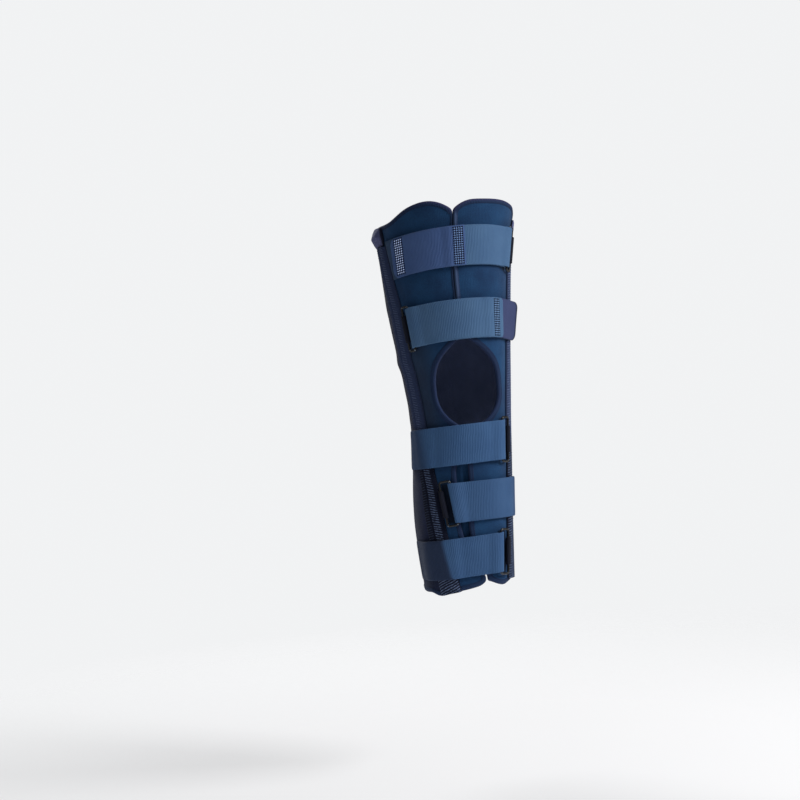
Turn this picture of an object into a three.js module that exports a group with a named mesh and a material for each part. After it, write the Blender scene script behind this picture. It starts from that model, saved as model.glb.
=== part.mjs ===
// Knee splint: a wrap of three padded panels with bound edges, open at the front and round the kneecap,
// with a ribbed stay pocket down each side and five straps that fold back through rectangular rings.
// Millimetres. +Z runs up the leg, -Y is the front of the knee and +X its lateral (outer) side.
// The origin is the middle of the knee, on the axis of the hollow.
// Angles are degrees round the leg from the front, positive towards +X.
// A lift is a distance off the outer face of the panels, positive outwards.
import * as THREE from "three";

// Driving dimensions
const FOAM = 5; // wall of the panels
const CLEAR = 0.3; // gap between pieces that meet
const JOIN = 0.8; // half the gap where two panels are joined under a pocket
const BEAD = 2.8; // radius of the rolled binding
const EDGE_GAP = 1.5; // between a panel's edge and the middle of its binding's side
const BASE_LIFT = 0.6; // under face of what is sewn on the panels, clear of the binding
const POCKET_HALF = 14; // half the width of a stay pocket
const POCKET_RISE = 4.4;
const POCKET_FOOT = { medial: -263, lateral: -251 };
const FOOT_SLANT = { medial: 2, lateral: 0 }; // rise of a pocket's foot from its middle to its +X edge
const POCKET_HEAD = 182;
const COVER = { foot: 183, head: 208, half: 20, back: 5, edge: 1.6, rounding: 0.45 };
const COVER_CROWN = { medial: 6, lateral: 3 }; // rise of a cover's middle above its edge
const STRAP_WIDTH = 50;
const STRAP = 1.6; // one layer of strap
const STRAP_LIFT = 0.8; // under face of a strap's under layer
const LAYER_GAP = 0.5; // between the two layers of a strap
const SEWN_GAP = 2; // from a strap's sewn end to the pocket's front edge
const TAB = 1.4; // thickness of a hook tab
const TAB_CORNER = 3; // degrees that a tab's corners are rounded back
const SHARP = 6; // power of the late turn at a tab's corners
const RING = { length: 59, bar: 3, corner: 3.5, hollow: 1.5, bevel: 0.6 };
const RING_PLAY = 0.7; // between a bar and what goes round it
const RING_STAND = 4.3; // middle of a ring's outer bar from the pocket's front edge
const KEEPER = { width: 34, thick: 1, root: 0.6, rootLift: 1.4, headLift: 3.6, turn: 126 };
const LEAN_FADE = { from: 4, to: 22 }; // degrees over which a strap takes up a ring's or a pocket's lean
const RING_FADE = { from: 3, to: 17 }; // run in which an outer layer comes down from its ring
const POCKET_FADE = 12; // run in which an outer layer climbs on a pocket
const TAB_FADE = { from: 4, to: 12 }; // degrees in which a tab or a strap climbs on the other's end
const FLAP = { foot: -226, head: -66, thick: 2, under: 9, past: 7 };

// Section of the wrap at each height: a superellipse about (x, y) on the panels' outer face, with its own
// half width on each side
const SECTIONS = [
  { z: -270, x: -6.4, medial: 55, lateral: 52, y: 3, depth: 57, square: 2.8 },
  { z: -200, x: -6.4, medial: 61, lateral: 56.5, y: 6, depth: 64, square: 2.6 },
  { z: -150, x: -5, medial: 63.5, lateral: 58, y: 7, depth: 68, square: 2.5 },
  { z: -100, x: -2, medial: 64, lateral: 58, y: 5, depth: 69, square: 2.4 },
  { z: -50, x: 0, medial: 65, lateral: 58.5, y: 1, depth: 68, square: 2.3 },
  { z: 0, x: 0, medial: 69, lateral: 62.2, y: 0, depth: 71, square: 2.2 },
  { z: 50, x: -2.2, medial: 75, lateral: 68.2, y: 1, depth: 77, square: 2.15 },
  { z: 100, x: -3.6, medial: 80.5, lateral: 74, y: 2, depth: 83, square: 2.1 },
  { z: 150, x: -3.4, medial: 85, lateral: 78.8, y: 3, depth: 88, square: 2.05 },
  { z: 200, x: -2.6, medial: 89, lateral: 86.5, y: 4, depth: 91, square: 2.05 },
  { z: 270, x: -2.4, medial: 90.5, lateral: 110, y: 4, depth: 93, square: 2.05 },
];
// Fold that stands out at the medial side, just above the bend of the knee
const FOLD = { angle: -92, z: 34, rise: 2, round: 30, up: 9 };

// Front edges of the two front panels, away from the kneecap opening
const SEAM = [
  { z: -248, medial: 12.5, lateral: 14 },
  { z: -225, medial: 2, lateral: 5.5 },
  { z: -192, medial: -10.9, lateral: -3.6 },
  { z: -121, medial: -16.3, lateral: -3.3 },
  { z: -104, medial: -16.1, lateral: -4.2 },
  { z: -62, medial: -6, lateral: -2.5 },
  { z: 60, medial: -3, lateral: -1.6 },
  { z: 107, medial: -4.1, lateral: -3.5 },
  { z: 141, medial: -4.7, lateral: -4.1 },
  { z: 198, medial: -3.3, lateral: -2.5 },
  { z: 217, medial: -2.6, lateral: -1.4 },
];
// Sides of the kneecap opening; at its ends they have crossed, where the edges of the panels meet
const KNEECAP = [
  { z: -70, medial: 22, lateral: -22 },
  { z: -60, medial: 4, lateral: -4 },
  { z: -49.5, medial: -15, lateral: 15.3 },
  { z: -36, medial: -26.5, lateral: 27.4 },
  { z: -22, medial: -32.4, lateral: 33.6 },
  { z: -5, medial: -33.5, lateral: 34.8 },
  { z: 12, medial: -31.8, lateral: 33 },
  { z: 26, medial: -27.2, lateral: 28.1 },
  { z: 38, medial: -19.5, lateral: 19.9 },
  { z: 51, medial: -8.2, lateral: 8.3 },
  { z: 60, medial: 2, lateral: -2 },
  { z: 70, medial: 15, lateral: -15 },
];
const KNEECAP_CORNER = 4; // degrees over which the front edge turns into the opening
// Middle line of each stay pocket, where the front panels meet the back panel
const POCKETS = [
  { z: -266, medial: -31.5, lateral: 56 },
  { z: -189, medial: -39.5, lateral: 57 },
  { z: -160, medial: -42.8, lateral: 57.8 },
  { z: -130, medial: -46.2, lateral: 58.8 },
  { z: -110, medial: -50.5, lateral: 59.6 },
  { z: -57, medial: -60, lateral: 62.3 },
  { z: 0, medial: -65, lateral: 66 },
  { z: 45, medial: -66, lateral: 69 },
  { z: 100, medial: -66, lateral: 71.8 },
  { z: 140, medial: -71, lateral: 74.2 },
  { z: 215, medial: -79, lateral: 79 },
];
// Top and bottom outlines of each panel, at the outside of the binding
const TOPS = {
  medial: [
    { angle: -80, z: 209.5 },
    { angle: -60, z: 210.5 },
    { angle: -52, z: 215 },
    { angle: -40, z: 223.7 },
    { angle: -28, z: 228.7 },
    { angle: -18.5, z: 229 },
    { angle: -10, z: 224.8 },
    { angle: -2, z: 217 },
  ],
  lateral: [
    { angle: -2, z: 217 },
    { angle: 3.5, z: 223 },
    { angle: 11.3, z: 227.8 },
    { angle: 22, z: 228.8 },
    { angle: 41, z: 228.3 },
    { angle: 55, z: 225 },
    { angle: 69, z: 219.5 },
    { angle: 81, z: 211.5 },
  ],
  back: [
    { angle: 78, z: 213.8 },
    { angle: 87, z: 208 },
    { angle: 110, z: 205 },
    { angle: 180, z: 203 },
    { angle: 255, z: 206 },
    { angle: 282, z: 209.5 },
  ],
};
const BOTTOMS = {
  medial: [
    { angle: -47.6, z: -266 },
    { angle: -34, z: -263.6 },
    { angle: -20.3, z: -261 },
    { angle: -5.5, z: -258.4 },
    { angle: 4.9, z: -255.8 },
    { angle: 10, z: -252.8 },
    { angle: 13, z: -249.8 },
  ],
  lateral: [
    { angle: 13, z: -249.8 },
    { angle: 19.3, z: -252.2 },
    { angle: 27.6, z: -255.8 },
    { angle: 37, z: -257.7 },
    { angle: 46, z: -255.5 },
    { angle: 57.3, z: -253 },
  ],
  back: [
    { angle: 55, z: -253.4 },
    { angle: 78, z: -252 },
    { angle: 180, z: -255 },
    { angle: 265, z: -263 },
    { angle: 300, z: -262 },
    { angle: 312.4, z: -266 },
    { angle: 329, z: -263.2 },
  ],
};
// Heights where the panels' faces are divided, and how their ends stretch to the outlines
const FRONT_ROWS = [
  -255, -243, -228, -210, -190, -160, -130, -104, -80, -64, -57, -50, -42, -33, -22, -10,
  3, 15, 26, 36, 45, 53, 61, 80, 110, 140, 170, 192, 208, 222,
];
const BACK_ROWS = [-255, -232, -190, -150, -110, -70, -35, -10, 10, 22, 34, 46, 60, 90, 125, 170, 198, 222];
const TOP_STRETCH = { from: 140, to: 222 };
const BOTTOM_STRETCH = { from: -190, to: -255 };
// How finely the pieces are divided: cells across and along, degrees for each step of a band and of a bend,
// and the binding's sides, places along its ends and length of one step
const FRONT_COLUMNS = 8;
const BACK_COLUMNS = 18;
const POCKET_CELLS = 24;
const COVER_CELLS = 6;
const FLAP_CELLS = { across: 4, along: 8 };
const STRAP_STEP = 7;
const TAB_STEP = 6;
const BEND_STEP = 36;
const BEAD_CELLS = { sides: 6, top: 10, bottom: 8, back: 16, step: 9.25 };

// Straps: middle height at the front, how far they drop at the sides and tilt up to the lateral side,
// the side and the width of the ring, and the angle where the outer layer ends
const STRAPS = [
  { name: "strap_1", z: 170.7, drop: 10.5, tilt: 2.8, ring: "lateral", wide: 16.5, end: -1, tone: "light" },
  { name: "strap_2", z: 79.8, drop: 10, tilt: 3, ring: "medial", wide: 12.5, end: 41.5, tone: "light" },
  { name: "strap_3", z: -76, drop: 1, tilt: 3, ring: "lateral", wide: 16.5, end: -98, tone: "mid" },
  { name: "strap_4", z: -148.4, drop: 1.5, tilt: 1.5, ring: "medial", wide: 16.5, end: 96, tone: "mid" },
  { name: "strap_5", z: -217.6, drop: 1, tilt: 3.5, ring: "lateral", wide: 16.5, end: -98, tone: "mid" },
];
// Hook tabs sewn to the ends of the outer layers: the strap, whether the tab lies over or under its end,
// where the tab starts and ends, where it leaves the leg and runs straight on, and the lean of its end in
// degrees for each millimetre up
const TABS = [
  { name: "strap_1_tab", strap: "strap_1", lies: "over", start: 5.5, end: -57, leaves: -57, lean: 0 },
  { name: "strap_2_tab", strap: "strap_2", lies: "under", start: 30, end: 71, leaves: 46, lean: 0.1 },
];

// Finishes
const FINISHES = {
  panel: { color: 0x1c3550, roughness: 0.9, metalness: 0 },
  back: { color: 0x1b2440, roughness: 0.9, metalness: 0 },
  binding: { color: 0x2b2f55, roughness: 0.8, metalness: 0 },
  ribbed: { color: 0x22232c, roughness: 0.85, metalness: 0 },
  light: { color: 0x466690, roughness: 0.8, metalness: 0 },
  mid: { color: 0x35557e, roughness: 0.8, metalness: 0 },
  hook: { color: 0x3e456f, roughness: 0.75, metalness: 0 },
  webbing: { color: 0x17181d, roughness: 0.8, metalness: 0 },
  metal: { color: 0x141416, roughness: 0.35, metalness: 0.8 },
};

const { clamp, degToRad, lerp, smoothstep } = THREE.MathUtils;
const splint = new THREE.Group();

function add(name, geometry, finish) {
  const mesh = new THREE.Mesh(geometry, new THREE.MeshStandardMaterial(FINISHES[finish]));
  mesh.name = name;
  splint.add(mesh);
  return mesh;
}

// One column of a table at a place, on a smooth cubic through its rows
function read(rows, by, key, at) {
  const last = rows.length - 1;
  const place = clamp(at, rows[0][by], rows[last][by]);
  const next = clamp(rows.findIndex((row) => row[by] > place), 1, last);
  const i = place === rows[last][by] ? last - 1 : next - 1;
  const slope = (j) => {
    const before = rows[Math.max(j - 1, 0)];
    const after = rows[Math.min(j + 1, last)];
    return (after[key] - before[key]) / (after[by] - before[by]);
  };
  const span = rows[i + 1][by] - rows[i][by];
  const rise = rows[i + 1][key] - rows[i][key];
  const t = (place - rows[i][by]) / span;
  const leave = slope(i) * span;
  const arrive = slope(i + 1) * span;
  return rows[i][key] + t * (leave + t * (3 * rise - 2 * leave - arrive + t * (leave + arrive - 2 * rise)));
}

// Signed turn from one angle to another, the short way round
function turn(from, to) {
  return ((((to - from + 180) % 360) + 360) % 360) - 180;
}

// Point of the wrap at an angle, a height and a lift
function skin(angle, z, lift) {
  const at = (key) => read(SECTIONS, "z", key, z);
  const across = Math.sin(degToRad(angle));
  const along = -Math.cos(degToRad(angle));
  const power = at("square");
  const width = at(across < 0 ? "medial" : "lateral");
  const sideways = Math.abs(across) / width;
  const lengthways = Math.abs(along) / at("depth");
  const reach = (sideways ** power + lengthways ** power) ** (-1 / power);
  const facing = new THREE.Vector2(
    (Math.sign(across) * sideways ** (power - 1)) / width,
    (Math.sign(along) * lengthways ** (power - 1)) / at("depth"),
  ).normalize();
  const round = turn(FOLD.angle, angle) / FOLD.round;
  const up = (z - FOLD.z) / FOLD.up;
  const out = lift + FOLD.rise * Math.exp(-round * round - up * up);
  const x = at("x") + reach * across + out * facing.x;
  const y = at("y") + reach * along + out * facing.y;
  return new THREE.Vector3(x, y, z);
}

// Degrees that a distance round the leg takes up at an angle, a height and a lift
function degreesOf(distance, angle, z, lift = 0) {
  const step = 1;
  return (distance * 2 * step) / skin(angle - step, z, lift).distanceTo(skin(angle + step, z, lift));
}

// Box divided into a grid and bent: place(u, v, w) gives the point for each of its places from 0 to 1
function bentBox(columns, rows, place) {
  const geometry = new THREE.BoxGeometry(1, 1, 1, columns, rows, 1);
  const points = geometry.getAttribute("position");
  for (let i = 0; i < points.count; i += 1) {
    const at = place(points.getX(i) + 0.5, points.getY(i) + 0.5, points.getZ(i) + 0.5);
    points.setXYZ(i, at.x, at.y, at.z);
  }
  return geometry;
}

// Panels

function frontEdge(side, level, inset) {
  const outline = (z) => {
    const seam = read(SEAM, "z", side, z);
    if (z < KNEECAP[0].z || z > KNEECAP[KNEECAP.length - 1].z) return seam;
    const open = read(KNEECAP, "z", side, z);
    const apart = Math.hypot(seam - open, KNEECAP_CORNER);
    return (seam + open + (side === "medial" ? -apart : apart)) / 2;
  };
  const angle = outline(level);
  const lean = (outline(level + 1) - outline(level - 1)) / 2 / degreesOf(1, angle, level);
  const shift = degreesOf(inset * Math.hypot(1, lean), angle, level);
  return side === "medial" ? angle - shift : angle + shift;
}

// Point of a panel: level is its height before the ends are stretched to the outlines, and across runs
// from 0 to 1 in the direction of growing angle
function panelPoint(panel, across, level, inset, lift) {
  const pocket = (side) => read(POCKETS, "z", side, level);
  const joint = degreesOf(JOIN, 0, level);
  const ends = {
    medial: () => [pocket("medial") + joint, frontEdge("medial", level, inset)],
    lateral: () => [frontEdge("lateral", level, inset), pocket("lateral") - joint],
    back: () => [pocket("lateral") + joint, pocket("medial") + 360 - joint],
  }[panel]();
  const angle = lerp(ends[0], ends[1], across);
  const edge = (rows) => {
    const slope = (read(rows, "angle", "z", angle + 1) - read(rows, "angle", "z", angle - 1)) / 2;
    return [read(rows, "angle", "z", angle), inset * Math.hypot(1, slope * degreesOf(1, angle, level))];
  };
  let z = level;
  if (level > TOP_STRETCH.from) {
    const [top, depth] = edge(TOPS[panel]);
    const share = (level - TOP_STRETCH.from) / (TOP_STRETCH.to - TOP_STRETCH.from);
    z = lerp(TOP_STRETCH.from, top - depth, share);
  }
  if (level < BOTTOM_STRETCH.from) {
    const [bottom, depth] = edge(BOTTOMS[panel]);
    const share = (level - BOTTOM_STRETCH.from) / (BOTTOM_STRETCH.to - BOTTOM_STRETCH.from);
    z = lerp(BOTTOM_STRETCH.from, bottom + depth, share);
  }
  return skin(angle, z, lift);
}

function addPanel(panel, rows, columns, finish) {
  const inset = 2 * BEAD + EDGE_GAP;
  const geometry = bentBox(columns, rows.length - 1, (u, v, w) => {
    const level = rows[Math.round(v * (rows.length - 1))];
    return panelPoint(panel, u, level, inset, -FOAM * (1 - w));
  });
  add(panel + "_panel", geometry, finish);
}

// Rolled binding along a line of panel edge places
function addBinding(name, places) {
  const points = places.map(([panel, across, level]) => panelPoint(panel, across, level, BEAD, -FOAM / 2));
  const path = new THREE.CatmullRomCurve3(points, false, "centripetal");
  const bead = new THREE.Shape();
  for (let i = 0; i < BEAD_CELLS.sides; i += 1) {
    const angle = (2 * Math.PI * i) / BEAD_CELLS.sides;
    bead[i ? "lineTo" : "moveTo"](BEAD * Math.cos(angle), BEAD * Math.sin(angle));
  }
  const steps = Math.round(path.getLength() / BEAD_CELLS.step);
  add(name, new THREE.ExtrudeGeometry(bead, { steps, extrudePath: path }), "binding");
}

function addBindings() {
  const shares = (count, reverse) => {
    const list = Array.from({ length: count + 1 }, (_, i) => i / count);
    return reverse ? list.reverse() : list;
  };
  const top = TOP_STRETCH.to;
  const bottom = BOTTOM_STRETCH.to;
  for (const panel of ["medial", "lateral"]) {
    const front = panel === "medial" ? 1 : 0;
    const places = [
      ...shares(BEAD_CELLS.top, front === 0).map((share) => [panel, share, top]),
      ...FRONT_ROWS.slice(1, -1).reverse().map((level) => [panel, front, level]),
      ...shares(BEAD_CELLS.bottom, front === 1).map((share) => [panel, share, bottom]),
    ];
    addBinding(panel + "_binding", places);
  }
  addBinding("back_top_binding", shares(BEAD_CELLS.back).map((share) => ["back", share, top]));
  addBinding("back_bottom_binding", shares(BEAD_CELLS.back).map((share) => ["back", share, bottom]));
}

// Tongue behind the gap below the knee
function addFlap() {
  const lift = -FOAM - 2 * CLEAR;
  const geometry = bentBox(FLAP_CELLS.across, FLAP_CELLS.along, (u, v, w) => {
    const z = lerp(FLAP.foot, FLAP.head, v);
    const from = read(SEAM, "z", "medial", z) - FLAP.under;
    const to = read(SEAM, "z", "lateral", z) + FLAP.past;
    return skin(lerp(from, to, u), z, lift - FLAP.thick * (1 - w));
  });
  add("front_flap", geometry, "hook");
}

// Stay pockets

function addPocket(side) {
  const towardsFront = side === "medial" ? 1 : -1;
  // Rise of the tunnel across its width, from its rear edge to its front edge
  const profile = [0.3, 0.82, 0.94, 1, 0.98, 0.3];
  const columns = profile.length - 1;
  const spread = [-1, -0.84, -0.3, 0.3, 0.84, 1];
  const geometry = bentBox(columns, POCKET_CELLS, (u, v, w) => {
    const column = Math.round(u * columns);
    const slant = v > 0 ? 0 : FOOT_SLANT[side] * spread[column];
    const z = lerp(POCKET_FOOT[side], POCKET_HEAD, v) + slant;
    const middle = read(POCKETS, "z", side, z);
    const offset = POCKET_HALF * spread[column];
    const rise = POCKET_RISE * profile[towardsFront > 0 ? column : columns - column];
    return skin(middle + degreesOf(offset, middle, z), z, BASE_LIFT + w * rise);
  });
  add(side + "_stay_pocket", geometry, "ribbed");
}

// Folded cover over the open top of a pocket, a rounded pad
function addPocketCover(side) {
  const outwards = side === "medial" ? -1 : 1;
  const geometry = bentBox(COVER_CELLS, COVER_CELLS, (u, v, w) => {
    const [x, y] = [2 * u - 1, 2 * v - 1];
    const narrow = Math.sqrt(1 - COVER.rounding * x * x * y * y);
    const z = lerp(COVER.foot, COVER.head, 0.5 + (y * narrow) / 2);
    const middle = read(POCKETS, "z", side, z) + outwards * COVER.back;
    const angle = middle + degreesOf(x * narrow * COVER.half, middle, z);
    const pillow = (1 - x ** 4) * (1 - y ** 4);
    return skin(angle, z, BASE_LIFT + w * (COVER.edge + COVER_CROWN[side] * pillow));
  });
  add(side + "_pocket_end", geometry, "hook");
}

// Straps, rings and keepers

const UNDER = STRAP_LIFT + STRAP / 2; // middle of an under layer
const OVER = UNDER + STRAP + LAYER_GAP; // middle of an outer layer on it
const BAR_LIFT = STRAP_LIFT + STRAP + RING_PLAY + RING.bar / 2;
const FOLD_RADIUS = RING.bar / 2 + RING_PLAY + STRAP / 2;
const ON_POCKET = BASE_LIFT + POCKET_RISE + LAYER_GAP + STRAP / 2;

function heightOf(strap, angle) {
  return strap.z - strap.drop * (1 - Math.cos(degToRad(angle))) + strap.tilt * Math.sin(degToRad(angle));
}

// Angle of a line beside a pocket, a distance towards the front from its front edge
function besidePocket(side, distance, z) {
  const towardsFront = side === "medial" ? 1 : -1;
  const middle = read(POCKETS, "z", side, z);
  return middle + towardsFront * degreesOf(POCKET_HALF + distance, middle, z);
}

// Where a strap meets a pocket's front edge: the height of its middle, the angle, and the edge's lean in
// degrees for each millimetre up
function meeting(strap, side, distance) {
  let z = strap.z;
  for (let i = 0; i < 4; i += 1) z = heightOf(strap, besidePocket(side, distance, z));
  const reach = STRAP_WIDTH / 2;
  const [low, angle, high] = [z - reach, z, z + reach].map((place) => besidePocket(side, distance, place));
  return { z, angle, lean: (high - low) / (2 * reach) };
}

// Where a strap's ring is: its height, its lean, the angles of its two long bars, how far these are from the
// ring's middle, its way out from the front, and its own frame, with x across the bars, y along them and z
// off the leg
function ringOf(strap) {
  const { z, angle: outer, lean } = meeting(strap, strap.ring, RING_STAND);
  const out = strap.ring === "medial" ? -1 : 1;
  const offset = (strap.wide - RING.bar) / 2;
  const inner = outer - out * degreesOf(2 * offset, outer, z, BAR_LIFT);
  const middle = (outer + inner) / 2;
  const reach = STRAP_WIDTH / 2;
  const [low, high] = [-reach, reach].map((aside) => skin(middle + lean * aside, z + aside, BAR_LIFT));
  const up = high.sub(low).normalize();
  const off = skin(middle, z, BAR_LIFT).sub(skin(middle, z, 0));
  const across = new THREE.Vector3().crossVectors(up, off).normalize();
  off.crossVectors(across, up);
  const frame = new THREE.Matrix4().makeBasis(across, up, off).setPosition(skin(middle, z, BAR_LIFT));
  return { z, lean, outer, inner, offset, out, frame };
}

// Half turn round one of a ring's bars, as places of a band in the ring's frame, by the angle of each place
// from the direction that the turn bulges in
function barTurn(ring, bar, radius, bends) {
  const bulge = bar === "inner" ? ring.out : -ring.out;
  const degree = degreesOf(1, ring[bar], ring.z, BAR_LIFT);
  return bends.map((bend) => {
    const run = bulge * radius * Math.cos(degToRad(bend));
    const rise = radius * Math.sin(degToRad(bend));
    const local = { x: run - bulge * ring.offset, z: rise, frame: ring.frame };
    return { angle: ring[bar] + run * degree, lift: BAR_LIFT + rise, lean: ring.lean, local };
  });
}

// Band of cloth: way is the line of its middle as places { angle, lift, lean }, with the lean in degrees for
// each millimetre up its width, and height(angle) is the middle of its width. A corner turns its end back.
// Where the lift changes across the band, rise(angle) takes the place of the lifts
function band(way, z, { width, thick, rows, height, corner = () => 0, rise = null }) {
  const columns = way.length - 1;
  const across = way.map((place, i) => {
    const before = way[Math.max(i - 1, 0)];
    const after = way[Math.min(i + 1, columns)];
    const run = (after.angle - before.angle) / degreesOf(1, place.angle, z);
    return new THREE.Vector2(-(after.lift - before.lift), run).normalize();
  });
  return bentBox(columns, rows, (u, v, w) => {
    const i = Math.round(u * columns);
    const { angle, lift, lean } = way[i];
    const aside = (v - 0.5) * width;
    const off = (w - 0.5) * thick;
    if (way[i].local) {
      const { x, z: up, frame } = way[i].local;
      return new THREE.Vector3(x + across[i].x * off, aside, up + across[i].y * off).applyMatrix4(frame);
    }
    const leaning = angle + lean * aside + corner(columns - i, 2 * v - 1);
    const shifted = leaning + degreesOf(across[i].x * off, angle, z, lift);
    return skin(shifted, height(angle) + aside, (rise ? rise(leaning) : lift) + across[i].y * off);
  });
}

// Lift of the middle of a strap's outer layer: over the ring, over the under layer and over the far pocket
function outerLift(strap, ring, angle) {
  const far = strap.ring === "medial" ? "lateral" : "medial";
  const z = heightOf(strap, angle);
  const mm = (from) => Math.abs(turn(from, angle)) / degreesOf(1, angle, z);
  const nearRing = 1 - smoothstep(mm(ring.inner), RING_FADE.from, RING_FADE.to);
  const pocket = mm(read(POCKETS, "z", far, z));
  const onPocket = 1 - smoothstep(pocket, POCKET_HALF, POCKET_HALF + POCKET_FADE);
  const past = ring.out * (angle - read(POCKETS, "z", far, z)) < 0;
  const base = past ? UNDER : OVER;
  return base + Math.max(nearRing * (BAR_LIFT + FOLD_RADIUS - base), onPocket * (ON_POCKET - base));
}

// Rise of a strap's outer layer where its tab lies under its end
function riseOnTab(strap, angle) {
  const tab = TABS.find((row) => row.strap === strap.name && row.lies === "under");
  if (!tab) return 0;
  const before = Math.sign(tab.end - tab.start) * (tab.start - angle);
  return (TAB + 2 * CLEAR) * (1 - smoothstep(before, TAB_FADE.from, TAB_FADE.to));
}

function spaced(from, to, most) {
  const count = Math.ceil(Math.abs(to - from) / most);
  return Array.from({ length: count + 1 }, (_, i) => lerp(from, to, i / count));
}

function addStrap(strap) {
  const ring = ringOf(strap);
  const far = strap.ring === "medial" ? "lateral" : "medial";
  const fixed = meeting(strap, far, SEWN_GAP);
  const share = (angle, place) => 1 - smoothstep(Math.abs(angle - place), LEAN_FADE.from, LEAN_FADE.to);
  const ringLean = (angle) => ring.lean * share(angle, ring.inner);
  const under = spaced(fixed.angle, ring.inner, STRAP_STEP).map((angle) => {
    return { angle, lift: UNDER, lean: ringLean(angle) + fixed.lean * share(angle, fixed.angle) };
  });
  const pocket = besidePocket(far, -POCKET_HALF, fixed.z);
  const outer = spaced(ring.inner, strap.end, STRAP_STEP).map((angle) => {
    const lean = ringLean(angle) + fixed.lean * share(angle, pocket);
    return { angle, lift: outerLift(strap, ring, angle) + riseOnTab(strap, angle), lean };
  });
  const fold = barTurn(ring, "inner", FOLD_RADIUS, spaced(-90, 90, BEND_STEP));
  const way = [...under.slice(0, -1), ...fold, ...outer.slice(1)];
  const height = (angle) => heightOf(strap, angle);
  const geometry = band(way, ring.z, { width: STRAP_WIDTH, thick: STRAP, rows: 2, height });
  add(strap.name, geometry, strap.tone);
}

// Hook tab at the end of a strap's outer layer, with rounded corners at its own end
function addTab({ name, strap: strapName, lies, start, end, leaves, lean }) {
  const strap = STRAPS.find((row) => row.name === strapName);
  const ring = ringOf(strap);
  const heading = Math.sign(end - start);
  const onStrap = STRAP / 2 + CLEAR + TAB / 2;
  const rise = (angle) => {
    const pastStrap = smoothstep(heading * (angle - strap.end), TAB_FADE.from, TAB_FADE.to);
    const over = lies === "over" ? onStrap * (1 - pastStrap) : 0;
    const onLeg = heading * Math.min(heading * angle, heading * leaves);
    const radius = 1 / degToRad(degreesOf(1, onLeg, strap.z));
    const stand = radius * (1 / Math.cos(degToRad(angle - onLeg)) - 1);
    return outerLift(strap, ring, onLeg) + over + stand;
  };
  const way = spaced(start, end, TAB_STEP).map((angle) => {
    return { angle, lift: rise(angle), lean: (lean * (angle - start)) / (end - start) };
  });
  const corner = (fromEnd, side) => (fromEnd === 0 ? -heading * TAB_CORNER * Math.abs(side) ** SHARP : 0);
  const height = (angle) => heightOf(strap, angle);
  const options = { width: STRAP_WIDTH, thick: TAB, rows: 6, height, corner, rise };
  add(name, band(way, strap.z, options), "hook");
}

function roundedOutline(path, width, length, corner) {
  const [x, y] = [width / 2, length / 2];
  path.moveTo(-x + corner, -y);
  path.lineTo(x - corner, -y);
  path.absarc(x - corner, -y + corner, corner, -Math.PI / 2, 0);
  path.lineTo(x, y - corner);
  path.absarc(x - corner, y - corner, corner, 0, Math.PI / 2);
  path.lineTo(-x + corner, y);
  path.absarc(-x + corner, y - corner, corner, Math.PI / 2, Math.PI);
  path.lineTo(-x, -y + corner);
  path.absarc(-x + corner, -y + corner, corner, Math.PI, 1.5 * Math.PI);
  return path;
}

function addRing(name, strap) {
  const ring = ringOf(strap);
  const { length, bar, corner, hollow, bevel } = RING;
  const outline = roundedOutline(new THREE.Shape(), strap.wide, length, corner);
  outline.holes.push(roundedOutline(new THREE.Path(), strap.wide - 2 * bar, length - 2 * bar, hollow));
  const geometry = new THREE.ExtrudeGeometry(outline, {
    depth: bar - 2 * bevel,
    bevelThickness: bevel,
    bevelSize: bevel,
    bevelOffset: -bevel,
    bevelSegments: 1,
    curveSegments: 1,
  });
  geometry.translate(0, 0, -bar / 2 + bevel);
  add(name, geometry, "metal").applyMatrix4(ring.frame);
}

// Webbing from the pocket's front edge, round the ring's outer bar and back
function addKeeper(name, strap) {
  const ring = ringOf(strap);
  const radius = RING.bar / 2 + RING_PLAY + KEEPER.thick / 2;
  const angle = ring.outer + ring.out * degreesOf(RING_STAND - KEEPER.root, ring.outer, ring.z);
  const root = (lift) => ({ angle, lift, lean: ring.lean });
  const loop = barTurn(ring, "outer", radius, spaced(KEEPER.turn, -KEEPER.turn, BEND_STEP));
  const way = [root(KEEPER.headLift), ...loop, root(KEEPER.rootLift)];
  const options = { width: KEEPER.width, thick: KEEPER.thick, rows: 1, height: () => ring.z };
  add(name, band(way, ring.z, options), "webbing");
}

addPanel("medial", FRONT_ROWS, FRONT_COLUMNS, "panel");
addPanel("lateral", FRONT_ROWS, FRONT_COLUMNS, "panel");
addPanel("back", BACK_ROWS, BACK_COLUMNS, "back");
addBindings();
addFlap();
for (const side of ["medial", "lateral"]) {
  addPocket(side);
  addPocketCover(side);
}
STRAPS.forEach((strap, i) => {
  addStrap(strap);
  addRing("ring_" + (i + 1), strap);
  addKeeper("ring_keeper_" + (i + 1), strap);
});
TABS.forEach(addTab);

export default splint;
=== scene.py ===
"""Looks of a knee splint: padded panels with bound edges, ribbed stay pockets, straps, rings and stitches.

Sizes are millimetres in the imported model's frame, and the meshes are made in metres.
+Z runs up the leg, -Y is the front of the knee and +X its lateral (outer) side.
Angles are degrees round the leg from the front, positive towards +X.
A lift is a distance off the outer face of the panels, positive outwards.
A pair of numbers for a change is where it starts and where it is complete.
"""
import math
from types import SimpleNamespace as Form

import bpy
import numpy as np
from mathutils import Matrix, Vector


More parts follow.
